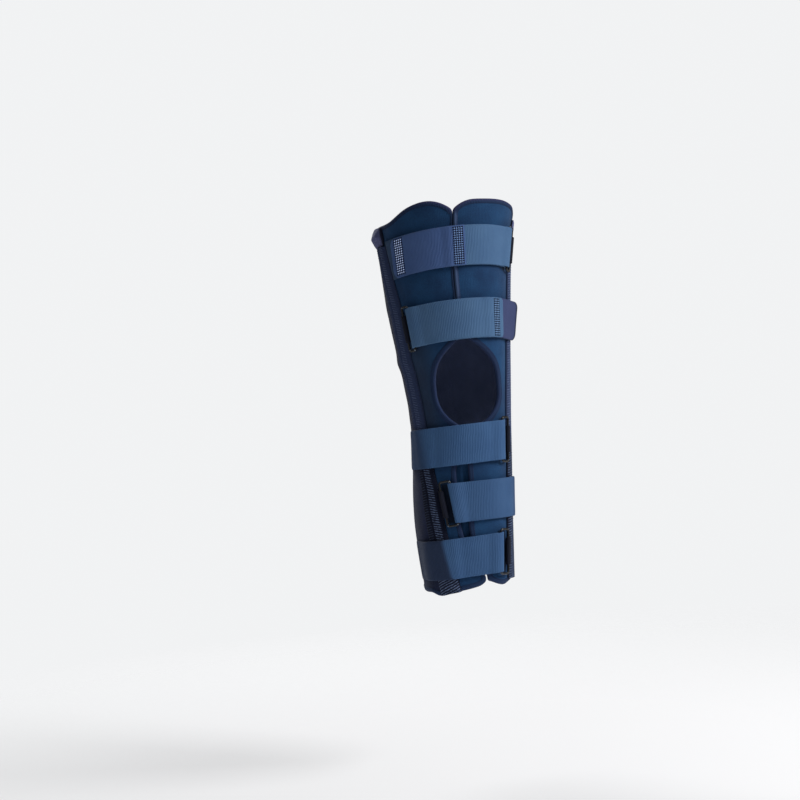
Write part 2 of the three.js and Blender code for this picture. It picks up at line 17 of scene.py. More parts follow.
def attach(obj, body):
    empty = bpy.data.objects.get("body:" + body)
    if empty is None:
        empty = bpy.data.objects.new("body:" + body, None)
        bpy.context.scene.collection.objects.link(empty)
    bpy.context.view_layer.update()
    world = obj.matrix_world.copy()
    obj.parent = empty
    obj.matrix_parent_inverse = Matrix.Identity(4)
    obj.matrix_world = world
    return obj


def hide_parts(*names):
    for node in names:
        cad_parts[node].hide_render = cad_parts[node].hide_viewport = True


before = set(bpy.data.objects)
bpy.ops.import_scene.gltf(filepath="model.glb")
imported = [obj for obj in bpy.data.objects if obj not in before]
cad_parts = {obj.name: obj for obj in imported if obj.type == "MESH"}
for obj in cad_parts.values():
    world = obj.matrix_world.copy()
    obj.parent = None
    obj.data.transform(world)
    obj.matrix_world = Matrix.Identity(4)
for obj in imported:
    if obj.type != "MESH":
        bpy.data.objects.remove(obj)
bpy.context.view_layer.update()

MM = 0.001
OUT = {"medial": -1, "lateral": 1}
OTHER = {"medial": "lateral", "lateral": "medial"}


def table(columns, *rows):
    """Rows of numbers as one array for each named column."""
    return dict(zip(columns.split(), np.array(rows, float).T))


def records(columns, *rows):
    """Rows as one form each, with its parts by named columns."""
    return [Form(**dict(zip(columns.split(), row))) for row in rows]


# Foam of the panels, and half the joint between two of them under a pocket
FOAM = 5
HALF_JOINT = 0.8
# Stay pockets, whose feet slant to follow the hem
BASE_LIFT = 0.6
POCKET_HALF = 14
POCKET_RISE = 4.4
POCKET_HEAD = 182
POCKET_FOOT = {"medial": -263, "lateral": -251}
FOOT_SLANT = {"medial": 2, "lateral": 0}
SLANT_REACH = 20
# Straps and tabs
STRAP_WIDTH = 50
STRAP = 1.6
STRAP_LIFT = 0.8
LAYER_GAP = 0.5
SEWN_GAP = 2
END_CORNER = 5
TAB = 1.4
TAB_GAP = 0.3
TAB_CORNER = 9
# Rings, and the webbing loops that keep them by the pockets
RING_LENGTH = 59
RING_BAR = 3
RING_CORNER = 2.6
RING_PLAY = 0.7
RING_STAND = 4.3
KEEPER = Form(width=34, thick=1, root=0.6, lifts=(3.6, 1.4), turn=126)
# Changes along a strap: its lean and its climb on a tab in degrees, and its other climbs in millimetres
LEAN_FADE = (4, 22)
TAB_FADE = (4, 12)
RING_FADE = (3, 17)
POCKET_FADE = 12
POCKET_TAIL = 30
SNUG = 0.7

# Section of the wrap at each height: a superellipse about (x, y) on the panels' outer face, with its own half
# width on each side
SECTIONS = table(
    "z x medial lateral y depth square",
    (-270, -6.4, 55, 52, 3, 57, 2.8),
    (-200, -6.4, 61, 56.5, 6, 64, 2.6),
    (-150, -5, 63.5, 58, 7, 68, 2.5),
    (-100, -2, 64, 58, 5, 69, 2.4),
    (-50, 0, 65, 58.5, 1, 68, 2.3),
    (0, 0, 69, 62.2, 0, 71, 2.2),
    (50, -2.2, 75, 68.2, 1, 77, 2.15),
    (100, -3.6, 80.5, 74, 2, 83, 2.1),
    (150, -3.4, 85, 78.8, 3, 88, 2.05),
    (200, -2.6, 89, 86.5, 4, 91, 2.05),
    (270, -2.4, 90.5, 110, 4, 93, 2.05),
)
# Fold that stands out at the medial side, above the knee
FOLD = Form(angle=-92, z=34, rise=2, round=30, up=9)
# Front edges of the two front panels, away from the kneecap opening
SEAM = table(
    "z medial lateral",
    (-248, 12.5, 14),
    (-225, 2, 5.5),
    (-192, -10.9, -3.6),
    (-121, -16.3, -3.3),
    (-104, -16.1, -4.2),
    (-62, -6, -2.5),
    (60, -2.4, -2.4),
    (107, -3.8, -3.8),
    (141, -4.4, -4.4),
    (198, -2.9, -2.9),
    (217, -2, -2),
)
# Sides of the kneecap opening, which have crossed at its ends
KNEECAP = table(
    "z medial lateral",
    (-70, 22, -22),
    (-60, 4, -4),
    (-49.5, -15, 15.3),
    (-36, -26.5, 27.4),
    (-22, -32.4, 33.6),
    (-5, -33.5, 34.8),
    (12, -31.8, 33),
    (26, -27.2, 28.1),
    (38, -19.5, 19.9),
    (51, -8.2, 8.3),
    (60, 2, -2),
    (70, 15, -15),
)
KNEECAP_CORNER = 4
# Middle line of each stay pocket
POCKETS = table(
    "z medial lateral",
    (-266, -31.5, 56),
    (-189, -39.5, 57),
    (-160, -42.8, 57.8),
    (-130, -46.2, 58.8),
    (-110, -50.5, 59.6),
    (-57, -60, 62.3),
    (0, -65, 66),
    (45, -66, 69),
    (100, -66, 71.8),
    (140, -71, 74.2),
    (215, -79, 79),
)
# Top and bottom outlines of each panel, at the outside of the binding
TOPS = {
    "medial": table(
        "angle z",
        *((-80, 209.5), (-60, 210.5), (-52, 215), (-40, 223.7)),
        *((-28, 228.7), (-18.5, 229), (-10, 224.8), (-2, 217)),
    ),
    "lateral": table(
        "angle z",
        *((-2, 217), (3.5, 223), (11.3, 227.8), (22, 228.8)),
        *((41, 228.3), (55, 225), (69, 219.5), (81, 211.5)),
    ),
    "back": table("angle z", (78, 213.8), (87, 208), (110, 205), (180, 203), (255, 206), (282, 209.5)),
}
BOTTOMS = {
    "medial": table(
        "angle z",
        *((-47.6, -266), (-34, -263.6), (-20.3, -261), (-5.5, -258.4)),
        *((4.9, -255.8), (10, -252.8), (13, -249.8)),
    ),
    "lateral": table(
        "angle z", (13, -249.8), (19.3, -252.2), (27.6, -255.8), (37, -257.7), (46, -255.5), (57.3, -253)
    ),
    "back": table(
        "angle z",
        *((55, -253.4), (78, -252), (180, -255), (265, -263)),
        *((300, -262), (312.4, -266), (329, -263.2)),
    ),
}
# Heights past which a panel stretches to its outlines: where that starts, and the level of the outline
TOP_STRETCH = (140, 222)
BOTTOM_STRETCH = (-190, -255)

# Straps: middle height at the front, drop at the sides, tilt up to the lateral side, side and width of the
# ring, angle where the outer layer ends, and slot. Then the bend over a stay: its angle, the degrees that it
# takes, the height of its crest, how much darker the strap is before it, and the painted shade past it,
# where the strap turns away from the light
STRAPS = records(
    "name z drop tilt ring wide end slot bend takes crest before past",
    ("strap_1", 170.7, 10.5, 2.8, "lateral", 16.5, -1, "light_strap", 0, 1, 0, 0, 0),
    ("strap_2", 79.8, 10, 3, "medial", 12.5, 41.5, "light_strap", 0, 1, 0, 0, 0),
    ("strap_3", -76, 1, 3, "lateral", 16.5, -98, "mid_strap", -57, 14, 1, 0, 0.55),
    ("strap_4", -148.4, 1.5, 1.5, "medial", 16.5, 96, "mid_strap", 58, 14, 1, 0.14, 0.4),
    ("strap_5", -217.6, 1, 3.5, "lateral", 16.5, -98, "mid_strap", -32.6, 5, 1.4, 0.1, 0.85),
)
CREST_REACH = 5
# Hook tabs: where a tab starts, leaves the leg to run straight on, and ends, and the lean of its end. The
# first lies over its strap's end and the second under it
OVER_TAB, UNDER_TAB = records(
    "name strap start leaves end lean",
    ("strap_1_tab", 0, 5.5, -57, -57, 0),
    ("strap_2_tab", 1, 30, 46, 71, 0.1),
)

UNDER = STRAP_LIFT + STRAP / 2
OVER = UNDER + STRAP + LAYER_GAP
BAR_LIFT = STRAP_LIFT + STRAP + RING_PLAY + RING_BAR / 2
FOLD_RADIUS = RING_BAR / 2 + RING_PLAY + STRAP / 2
ON_POCKET = BASE_LIFT + POCKET_RISE + LAYER_GAP + STRAP / 2


# Form of the wrap


def neighbours(count):
    """Indices after and before each place in a row, within the row."""
    places = np.arange(count)
    return np.minimum(places + 1, count - 1), np.maximum(places - 1, 0)


def read(rows, by, key, at):
    """One column of a table at places of another, on a smooth cubic through its rows."""
    xs, ys = rows[by], rows[key]
    ahead, behind = neighbours(len(xs))
    slope = (ys[ahead] - ys[behind]) / (xs[ahead] - xs[behind])
    place = np.clip(at, xs[0], xs[-1])
    i = np.clip(np.searchsorted(xs, place, side="right") - 1, 0, len(xs) - 2)
    span = xs[i + 1] - xs[i]
    rise = ys[i + 1] - ys[i]
    t = (place - xs[i]) / span
    leave = slope[i] * span
    arrive = slope[i + 1] * span
    return ys[i] + t * (leave + t * (3 * rise - 2 * leave - arrive + t * (leave + arrive - 2 * rise)))


def smooth(value, low, high):
    t = np.clip((value - low) / (high - low), 0, 1)
    return t * t * (3 - 2 * t)


def lerp(a, b, t):
    return a + (b - a) * t


def bell(value, width):
    """1 at zero, with a round fall to 0 on both sides."""
    return np.exp(-((value / width) ** 2))


def dent(form, at):
    """Height of a round dent or ridge at places, by its depth, place and width."""
    return form.depth * bell(at - form.place, form.width)


def unit(vectors):
    return vectors / np.linalg.norm(vectors, axis=-1, keepdims=True)


def turn(start, end):
    """Signed turn from one angle to another, the short way round."""
    return (end - start + 180) % 360 - 180


# Random unevenness: the most it adds, the lengths of its cells along both coordinates, and its seed
UNEVEN = {
    "wave": (0.7, 34, 46, 3),
    "small_wave": (0.28, 13, 21, 5),
    "medial_pucker": (0.45, 6.5, 30, 7),
    "lateral_pucker": (0.45, 6.5, 30, 8),
    "flap": (0.3, 1 / 6, 25, 11),
    "rib": (0.14, 7, 0.5, 21),
    "cover": (0.2, 0.5, 0.5, 31),
}
UNEVEN_CELLS = 61


def uneven(name, x, y):
    """Smooth random field of a named kind."""
    most, first, second, seed = UNEVEN[name]
    cells = np.random.default_rng(seed).uniform(-1, 1, (UNEVEN_CELLS, UNEVEN_CELLS))
    x, y = np.broadcast_arrays(x / first, y / second)
    i, j = np.floor(x).astype(int), np.floor(y).astype(int)
    s, t = smooth(x - i, 0, 1), smooth(y - j, 0, 1)

    def cell(a, b):
        return cells[(i + a) % UNEVEN_CELLS, (j + b) % UNEVEN_CELLS]

    return most * lerp(lerp(cell(0, 0), cell(1, 0), s), lerp(cell(0, 1), cell(1, 1), s), t)


def skin(angle, z, lift):
    """Points of the wrap at angles, heights and lifts."""
    angle, z, lift = np.broadcast_arrays(angle, z, lift)
    at = {key: read(SECTIONS, "z", key, z) for key in SECTIONS}
    power = at["square"]
    across = np.sin(np.radians(angle))
    back = -np.cos(np.radians(angle))
    width = np.where(across < 0, at["medial"], at["lateral"])
    sideways = np.abs(across) / width
    lengthways = np.abs(back) / at["depth"]
    reach = (sideways**power + lengthways**power) ** (-1 / power)
    face_x = np.sign(across) * sideways ** (power - 1) / width
    face_y = np.sign(back) * lengthways ** (power - 1) / at["depth"]
    bulge = bell(turn(FOLD.angle, angle), FOLD.round) * bell(z - FOLD.z, FOLD.up)
    out = (lift + FOLD.rise * bulge) / np.hypot(face_x, face_y)
    return np.stack([at["x"] + reach * across + out * face_x, at["y"] + reach * back + out * face_y, z], -1)


def degrees_of(distance, angle, z, lift=0.0):
    """Degrees that a distance round the leg takes up."""
    chord = np.linalg.norm(skin(angle + 1, z, lift) - skin(angle - 1, z, lift), axis=-1)
    return 2 * distance / chord


def height_of(strap, angle):
    bend = np.radians(angle)
    return strap.z - strap.drop * (1 - np.cos(bend)) + strap.tilt * np.sin(bend)


def stay_line(side, z):
    """Angle of a pocket's middle line."""
    return read(POCKETS, "z", side, z)


# Swells and puckers of the padded cloth, and where straps and pockets hold it down
SWELL = Form(front=1.3, back=0.3, change=(65, 95))
PUCKER = Form(held=0.25, start=(-1, 2), reach=11)
STRAP_HOLD = (0.5, 15)
POCKET_HOLD = (0, 18)
STRAPS_LEAVE = (96, 112)


def soft(angle, z):
    """Extra lift of the panels: the foam swells between the straps and is drawn in at the pockets."""
    round_leg = turn(0, angle)
    at_back = smooth(np.abs(round_leg), *STRAPS_LEAVE)
    free = np.ones(np.broadcast(angle, z).shape)
    for strap in STRAPS:
        past_edge = np.abs(z - height_of(strap, round_leg)) - STRAP_WIDTH / 2
        free = free * np.maximum(smooth(past_edge, *STRAP_HOLD), at_back)
    puckers = 0
    for side in OUT:
        middle = stay_line(side, z)
        past_edge = np.abs(turn(middle, angle)) / degrees_of(1, middle, z) - POCKET_HALF
        free = free * smooth(past_edge, *POCKET_HOLD)
        near = smooth(past_edge, *PUCKER.start) * bell(past_edge, PUCKER.reach)
        puckers = puckers + near * uneven(side + "_pucker", z, past_edge)
    waves = uneven("wave", round_leg, z) + uneven("small_wave", round_leg, z)
    swell = lerp(SWELL.front, SWELL.back, smooth(np.abs(round_leg), *SWELL.change))
    return free * (swell + waves) + puckers * lerp(PUCKER.held, 1, free)


def outline(side, z):
    """Angle of a front panel's front edge: the seam, or the kneecap opening."""
    seam = read(SEAM, "z", side, z)
    opened = read(KNEECAP, "z", side, z)
    joined = (seam + opened + OUT[side] * np.hypot(seam - opened, KNEECAP_CORNER)) / 2
    inside = (z >= KNEECAP["z"][0]) & (z <= KNEECAP["z"][-1])
    return np.where(inside, joined, seam)


def front_edge(side, level, inset):
    angle = outline(side, level)
    lean = (outline(side, level + 1) - outline(side, level - 1)) / 2 / degrees_of(1, angle, level)
    return angle + OUT[side] * degrees_of(inset * np.hypot(1, lean), angle, level)


def panel_place(panel, across, level, inset):
    """Angles and heights on a panel: level is the height before the ends stretch to the outlines, and across
    runs from 0 to 1 in the direction of growing angle."""
    joint = degrees_of(HALF_JOINT, 0, level)
    medial, lateral = stay_line("medial", level), stay_line("lateral", level)
    if panel == "back":
        start, end = lateral + joint, medial + 360 - joint
    elif panel == "medial":
        start, end = medial + joint, front_edge(panel, level, inset)
    else:
        start, end = front_edge(panel, level, inset), lateral - joint
    angle = lerp(start, end, across)
    z = level
    for rows, (fixed, moved), sign in ((TOPS[panel], TOP_STRETCH, 1), (BOTTOMS[panel], BOTTOM_STRETCH, -1)):
        slope = (read(rows, "angle", "z", angle + 1) - read(rows, "angle", "z", angle - 1)) / 2
        depth = inset * np.hypot(1, slope * degrees_of(1, angle, level))
        edge = read(rows, "angle", "z", angle) - sign * depth
        share = (level - fixed) / (moved - fixed)
        z = np.where(share > 0, lerp(fixed, edge, share), z)
    return angle, z


def panel_point(panel, across, level, inset, lift):
    angle, z = panel_place(panel, across, level, inset)
    return skin(angle, z, lift + soft(angle, z))


# Meshes


def add_object(name, data):
    made = bpy.data.objects.new(name, data)
    bpy.context.scene.collection.objects.link(made)
    return made


def loft(rings, closed=False):
    """Faces of a skin over rings, each a loop whose second half mirrors its first."""
    count, size = rings.shape[:2]
    index = np.arange(count * size).reshape(count, size)
    if closed:
        index = np.vstack([index, index[:1]])
    a, b = index[:-1], np.roll(index[:-1], -1, axis=1)
    c, d = np.roll(index[1:], -1, axis=1), index[1:]
    faces = [np.stack([a, b, c, d], -1).reshape(-1, 4)]
    if not closed:
        half = np.arange(size // 2 - 1)
        cap = np.stack([half, size - 1 - half, size - 2 - half, half + 1], -1)
        faces += [cap + index[0, 0], cap[:, ::-1] + index[-1, 0]]
    return np.vstack(faces)


def facing_out(points, faces):
    a, b, c, d = (points[faces[:, i]] for i in range(4))
    volume = np.einsum("ij,ij->i", a, np.cross(b, c) + np.cross(c, d)).sum()
    return faces if volume > 0 else faces[:, ::-1]


def add_piece(name, points, faces, uv, materials, extra=None, which=None):
    """Smooth mesh object from points and cloth coordinates in millimetres."""
    mesh = bpy.data.meshes.new(name)
    mesh.from_pydata((points * MM).tolist(), [], faces.tolist())
    layer = mesh.uv_layers.new(name="cloth")
    corners = np.zeros(len(mesh.loops), np.int32)
    mesh.loops.foreach_get("vertex_index", corners)
    layer.data.foreach_set("uv", uv[corners].astype(np.float32).ravel())
    mesh.polygons.foreach_set("use_smooth", np.ones(len(faces), bool))
    for key, values in (extra or {}).items():
        mesh.attributes.new(key, "FLOAT", "POINT").data.foreach_set("value", values.astype(np.float32))
    for material in materials:
        mesh.materials.append(material)
    if which is not None:
        mesh.polygons.foreach_set("material_index", which.astype(np.int32))
    mesh.update()
    piece = add_object(name, mesh)
    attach(piece, "root")
    return piece


def add_loft(name, rings, uv, material, node, closed=False, extra=None, lining=None):
    """Piece over rings that stands for a node. A lining covers the second half of each ring."""
    points = rings.reshape(-1, 3)
    faces = facing_out(points, loft(rings, closed))
    size = rings.shape[1]
    inner = (faces % size >= size // 2).all(axis=1) if lining else None
    materials = [material, lining] if lining else [material]
    piece = add_piece(name, points, faces, uv.reshape(-1, 2), materials, extra, inner)
    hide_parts(node)
    return piece


def wall(outer, inner):
    """Rows that loop over a wall's outer face and back over its inner one."""
    return np.concatenate([outer, inner[:, ::-1]], axis=1)


def add_wall(name, angle, z, lifts, uv, material, node, looks=(), lining=None):
    """Wall between two lifts. A look is a key, its values on the outer face, and the inner face's share."""
    rings = wall(*(skin(angle, z, lift) for lift in lifts))
    cloth = pairs(*uv)
    extra = {key: wall(values, share * values).ravel() for key, values, share in looks}
    return add_loft(name, rings, wall(cloth, cloth), material, node, extra=extra, lining=lining)


def pairs(first, second):
    return np.stack(np.broadcast_arrays(first, second), -1)


def relaxed(line, passes):
    """Rows of points smoothed along the first axis, with the ends kept."""
    for _ in range(passes):
        line = np.concatenate([line[:1], (line[:-2] + 2 * line[1:-1] + line[2:]) / 4, line[-1:]])
    return line


# Points on the round edge of a band's section, as degrees from its middle plane
BAND_EDGE = (165, 140, 115)


def band_section(width, thick, cells):
    """Loop of (aside, off) round a band's section with round edges."""
    radius = thick / 2
    flat = width / 2 - radius
    bends = np.radians(BAND_EDGE)
    left = np.stack([-flat + radius * np.cos(bends), radius * np.sin(bends)], -1)
    top = np.stack([np.linspace(-flat, flat, cells + 1), np.full(cells + 1, radius)], -1)
    right = left[::-1] * (-1, 1)
    half = np.vstack([left, top, right])
    return np.vstack([half, half[::-1] * (1, -1)])


def along(points):
    """Length along a line of points, from its start."""
    steps = np.linalg.norm(np.diff(points, axis=0), axis=-1)
    return np.concatenate([[0], np.cumsum(steps)])


# Colours and materials


def linear(code):
    """Linear colour of a hexadecimal screen colour."""
    parts = [int(code[i : i + 2], 16) / 255 for i in (1, 3, 5)]
    return tuple(c / 12.92 if c <= 0.04045 else ((c + 0.055) / 1.055) ** 2.4 for c in parts) + (1.0,)


class Shader:
    """A material with a principled surface and short ways to add nodes."""

    def __init__(self, name, **values):
        self.material = bpy.data.materials.new(name)
        self.material.use_nodes = True
        self.tree = self.material.node_tree
        self.surface = self.tree.nodes["Principled BSDF"]
        for key, value in values.items():
            self.surface.inputs[key.replace("_", " ").title().replace("Ior", "IOR")].default_value = value

    def node(self, kind, inputs=(), **settings):
        made = self.tree.nodes.new("ShaderNode" + kind)
        for key, value in settings.items():
            setattr(made, key, value)
        for key, value in dict(inputs).items():
            if isinstance(value, bpy.types.NodeSocket):
                self.tree.links.new(value, made.inputs[key])
            else:
                made.inputs[key].default_value = value
        return made

    def cloth(self):
        """Cloth coordinates in millimetres: along the piece and across it."""
        split = self.node("SeparateXYZ", {0: self.node("UVMap", uv_map="cloth").outputs[0]})
        return split.outputs[0], split.outputs[1]

    def place(self):
        return self.node("TexCoord").outputs["Object"]

    def attribute(self, name):
        return self.node("Attribute", attribute_name=name).outputs["Fac"]

    def math(self, operation, a, b=0.0):
        return self.node("Math", {0: a, 1: b}, operation=operation).outputs[0]

    def weighted(self, a, share_a, b, share_b):
        return self.math("ADD", self.math("MULTIPLY", a, share_a), self.math("MULTIPLY", b, share_b))

    def wave(self, value, pitch):
        """Wave between 0 and 1 with one crest for each pitch."""
        turned = self.math("MULTIPLY", value, 2 * math.pi / pitch)
        return self.math("MULTIPLY", self.math("ADD", self.math("SINE", turned), 1.0), 0.5)

    def noise(self, per_metre, detail):
        inputs = {"Vector": self.place(), "Scale": per_metre, "Detail": detail}
        return self.node("TexNoise", inputs).outputs["Fac"]

    def mix(self, share, a, b, blend="MIX"):
        """Colour between two colours, each a code or a socket."""
        a, b = (linear(colour) if isinstance(colour, str) else colour for colour in (a, b))
        return self.node("Mix", {0: share, 6: a, 7: b}, data_type="RGBA", blend_type=blend).outputs[2]

    def spread(self, value, low, high, to_low=0.0, to_high=1.0):
        inputs = {0: value, 1: low, 2: high, 3: to_low, 4: to_high}
        return self.node("MapRange", inputs).outputs[0]

    def drive(self, key, socket):
        self.tree.links.new(socket, self.surface.inputs[key])

    def colour(self, tone, low, high, dark, light, tints=()):
        """Colour from dark to light by a tone, with tints as pairs of mesh attribute and colour."""
        shown = self.mix(self.spread(tone, low, high), dark, light)
        for name, tint in tints:
            shown = self.mix(self.attribute(name), shown, tint)
        self.drive("Base Color", shown)

    def bump(self, height, depth):
        """Normal from a height between 0 and 1 that stands for a depth in millimetres."""
        made = self.node("Bump", {"Height": height, "Distance": depth * MM, "Strength": 1.0})
        self.drive("Normal", made.outputs[0])


def brushed_cloth(name, dark, light, sheen, tints=()):
    """Fuzzy knit with soft patches of tone."""
    shader = Shader(name, roughness=0.92, sheen_weight=sheen, sheen_roughness=0.45, specular_ior_level=0.2)
    along_u, across_v = shader.cloth()
    fuzz = shader.noise(per_metre=1100, detail=3)
    patches = shader.noise(per_metre=26, detail=3)
    course = shader.math("MULTIPLY", shader.wave(along_u, pitch=1.7), shader.wave(across_v, pitch=1.3))
    tone = shader.weighted(patches, 0.6, fuzz, 0.4)
    shader.colour(tone, 0.36, 0.62, dark, light, tints)
    shader.bump(shader.weighted(fuzz, 0.7, course, 0.3), depth=0.5)
    return shader.material


def ribbed_band(name, dark, light, rib, sheen):
    """Webbing with fine ribs across it and yarns along it."""
    shader = Shader(name, roughness=0.8, sheen_weight=sheen, sheen_roughness=0.4, specular_ior_level=0.3)
    along_u, across_v = shader.cloth()
    drift = shader.math("MULTIPLY", shader.noise(per_metre=60, detail=1), 2.5)
    ribs = shader.wave(shader.math("ADD", along_u, drift), rib)
    yarns = shader.wave(across_v, pitch=1.1)
    patches = shader.noise(per_metre=30, detail=2)
    weave = shader.weighted(ribs, 0.65, yarns, 0.35)
    tone = shader.weighted(weave, 0.45, patches, 0.55)
    # The mesh's shade attribute darkens the band: painted shade on the straps, and the dark end of the under
    # tab.
    shader.colour(tone, 0.2, 0.75, dark, light, (("shade", "#1a2440"),))
    shader.bump(weave, depth=0.35)
    return shader.material


def rib_tape(name, groove, faded, crest):
    """Heavy tape that fades in places, with a lighter yarn on its ribs."""
    shader = Shader(name, roughness=0.85, specular_ior_level=0.15)
    worn = shader.noise(per_metre=420, detail=3)
    rib = shader.spread(shader.attribute("rib"), 0.3, 1.0)
    share = shader.math("MULTIPLY", rib, shader.spread(worn, 0.25, 0.6))
    ground = shader.mix(shader.attribute("fade"), groove, faded)
    shader.drive("Base Color", shader.mix(share, ground, crest))
    yarns = shader.wave(shader.cloth()[1], pitch=0.9)
    shader.bump(shader.weighted(yarns, 0.5, worn, 1.0), depth=0.3)
    return shader.material


def plain_tape(name, dark, light, pitch, tints=()):
    """Narrow woven tape with a fine twill."""
    shader = Shader(name, roughness=0.8, sheen_weight=0.05, specular_ior_level=0.2)
    twill = shader.wave(shader.math("ADD", *shader.cloth()), pitch)
    tone = shader.weighted(twill, 0.4, shader.noise(per_metre=45, detail=3), 0.6)
    shader.colour(tone, 0.25, 0.7, dark, light, tints)
    shader.bump(twill, depth=0.25)
    return shader.material


def enamel(name, paint, steel):
    """Enamelled wire, with bright bare steel at the middles of its corners as a painted glint."""
    shader = Shader(name, roughness=0.3, specular_ior_level=0.6)
    scuffs = shader.noise(per_metre=260, detail=4)
    # Painted glint: the middles of the corners turn to bright bare steel.
    worn = shader.spread(shader.math("ADD", shader.attribute("corner_glint"), scuffs), 1.48, 1.6)
    shader.drive("Base Color", shader.mix(worn, paint, steel))
    shader.drive("Metallic", worn)
    shader.drive("Roughness", shader.spread(scuffs, 0.3, 0.7, 0.22, 0.42))
    shader.bump(scuffs, depth=0.05)
    return shader.material


def thread(name, code, painted_glow=0.0):
    """Sewing thread, which may have a painted glow that makes it brighter than its light."""
    glow = {"emission_color": linear(code), "emission_strength": painted_glow}
    shader = Shader(name, roughness=0.7, specular_ior_level=0.2, **glow)
    twist = shader.noise(per_metre=500, detail=2)
    shader.drive("Base Color", shader.mix(twist, code, "#000000", "SOFT_LIGHT"))
    shader.bump(shader.noise(per_metre=2500, detail=2), depth=0.1)
    return shader.material


# The ring tint is painted shade on the panels inside the openings of the rings.
PANEL_TINTS = (("rubbed", "#2b3242"), ("painted_ring_shade", "#070b16"))
PANEL = brushed_cloth("panel_cloth", "#173459", "#214a74", 0.08, PANEL_TINTS)
LINING = brushed_cloth("lining_cloth", "#68728f", "#7a85a4", 0.0)
BACK = brushed_cloth("back_cloth", "#18203a", "#1f294a", 0.06)
# The ridge tint is a painted highlight along the roll of the lateral tape.
BINDING_TINTS = (("rim", "#36365f"), ("ridge", "#4a5f86"))
BINDING = plain_tape("binding_tape", "#14274a", "#1d3659", 2.2, BINDING_TINTS)
RIBBED = rib_tape("rib_tape", "#10162a", "#333f60", "#6c7da2")
STRAP_BANDS = {
    "light_strap": ribbed_band("light_strap_band", "#40638e", "#54789f", 2.1, 0.06),
    "mid_strap": ribbed_band("mid_strap_band", "#335785", "#446a98", 2.1, 0.06),
}
BLUE_HOOK = ribbed_band("blue_hook_band", "#435f95", "#516da3", 1.8, 0.06)
PURPLE_HOOK = ribbed_band("purple_hook_band", "#333f69", "#404a76", 1.8, 0.06)
COVER_CLOTH = plain_tape("cover_cloth", "#565c88", "#686e98", 1.3, (("fold", "#131a33"),))
KEEPER_BAND = ribbed_band("keeper_band", "#090d1a", "#151b30", 1.6, 0.0)
ENAMEL = enamel("ring_enamel", "#0a0c12", "#aab6cc")
NAVY_THREAD = thread("navy_thread", "#2b3a66")
# The pale thread has a painted glow, to look as bright as lit white thread.
PALE_THREAD = thread("pale_thread", "#d3e2ff", 0.4)
MID_THREAD = thread("mid_thread", "#a9c6ea")
DARK_THREAD = thread("dark_thread", "#0a1430")
GREY_THREAD = thread("grey_thread", "#3a3f58")


# Panels, with the part beside the kneecap that is rubbed, and painted shade inside the openings of the rings
PANEL_INSET = 2.4
PANEL_CELLS = {"medial": (300, 80), "lateral": (300, 80), "back": (150, 130)}
UV_DEGREE = 1.25
RUBBED = Form(most=0.6, low=(-75, -50), high=(45, 65), side=(18, 45))
RING_SHADE = Form(most=0.85, before=(-2, 1), past=(-1, 3), ends=(23, 29))


def painted_shade_in_rings(angle, z):
    """Painted shade on places of the panels inside the openings of the rings, where the ring and strap shade
    them.
    """
    most = 0 * z
    for ring in map(ring_of, STRAPS):
        upright = angle - ring.lean * (z - ring.z)
        low, high = sorted((ring.inner, ring.outer))
        across = smooth(upright - low, *RING_SHADE.before) * (1 - smooth(upright - high, *RING_SHADE.past))
        ends = 1 - smooth(np.abs(z - ring.z), *RING_SHADE.ends)
        most = np.maximum(most, RING_SHADE.most * across * ends)
    return most


def add_panel(panel, cloth):
    rows, columns = PANEL_CELLS[panel]
    level = np.linspace(BOTTOM_STRETCH[1], TOP_STRETCH[1], rows + 1)
    across, level = np.meshgrid(np.linspace(0, 1, columns + 1), level)
    angle, z = panel_place(panel, across, level, PANEL_INSET)
    lift = soft(angle, z)
    beside_knee = smooth(z, *RUBBED.low) * (1 - smooth(z, *RUBBED.high))
    rubbed = RUBBED.most * beside_knee * smooth(-angle, *RUBBED.side)
    looks = [("painted_ring_shade", painted_shade_in_rings(angle, z), 0), ("rubbed", rubbed, 0)]
    lifts = (lift, lift - FOAM)
    uv = (angle * UV_DEGREE, z)
    node = panel + "_panel"
    piece = add_wall(node + "_cloth", angle, z, lifts, uv, cloth, node, looks, LINING)


# Bindings: a tape folded round the edge, as (inset, lift) from its upper lip to the middle of the edge
TAPE_OUTER = [
    *((6.4, 0.1), (6.3, 0.45), (5.9, 0.55), (5, 0.55), (4, 0.6)),
    *((2.6, 0.58), (1.2, 0.2), (0.4, -0.8), (0, -FOAM / 2)),
]
TAPE_INNER = [
    *((6.4, 0.03), (6.2, 0.04), (5.8, 0.04), (5, 0.04), (4, 0.05)),
    *((2.6, 0.03), (1.8, -0.4), (1.1, -1.2), (0.9, -FOAM / 2)),
]
TAPE_LAP = {"medial": 0.009, "lateral": 0.009, "back": 0.003}
TAPE_STEPS = Form(end=80, front=330, back=200)
TAPE_PASSES = 8
# The front edges above the knee: the lateral tape is rolled, and the medial one is tucked under it
FRONT_LEVELS = (58, 72)
FRONT_FADE = (0, 8)
ROLL = {"medial": 0.1, "lateral": 1.4, "back": 0.2}
ROLL_FORM = Form(inset=2.8, width=2, over=0.1)
TUCK = {"medial": 0.4, "lateral": 1, "back": 1}
# Edge of the tape that shows its other colour, less so below a height
RIM_INSET = (0.6, 4.2)
RIM_LEVELS = (150, 200)
LOW_RIM = 0.2
STITCH_INSET = 5.2
STITCH_LIFT = 0.6


def folded(half):
    """A half section and its mirror image behind the panel."""
    upper = np.array(half)
    return np.vstack([upper, upper[-2::-1] * (1, -1) + (0, -FOAM)])


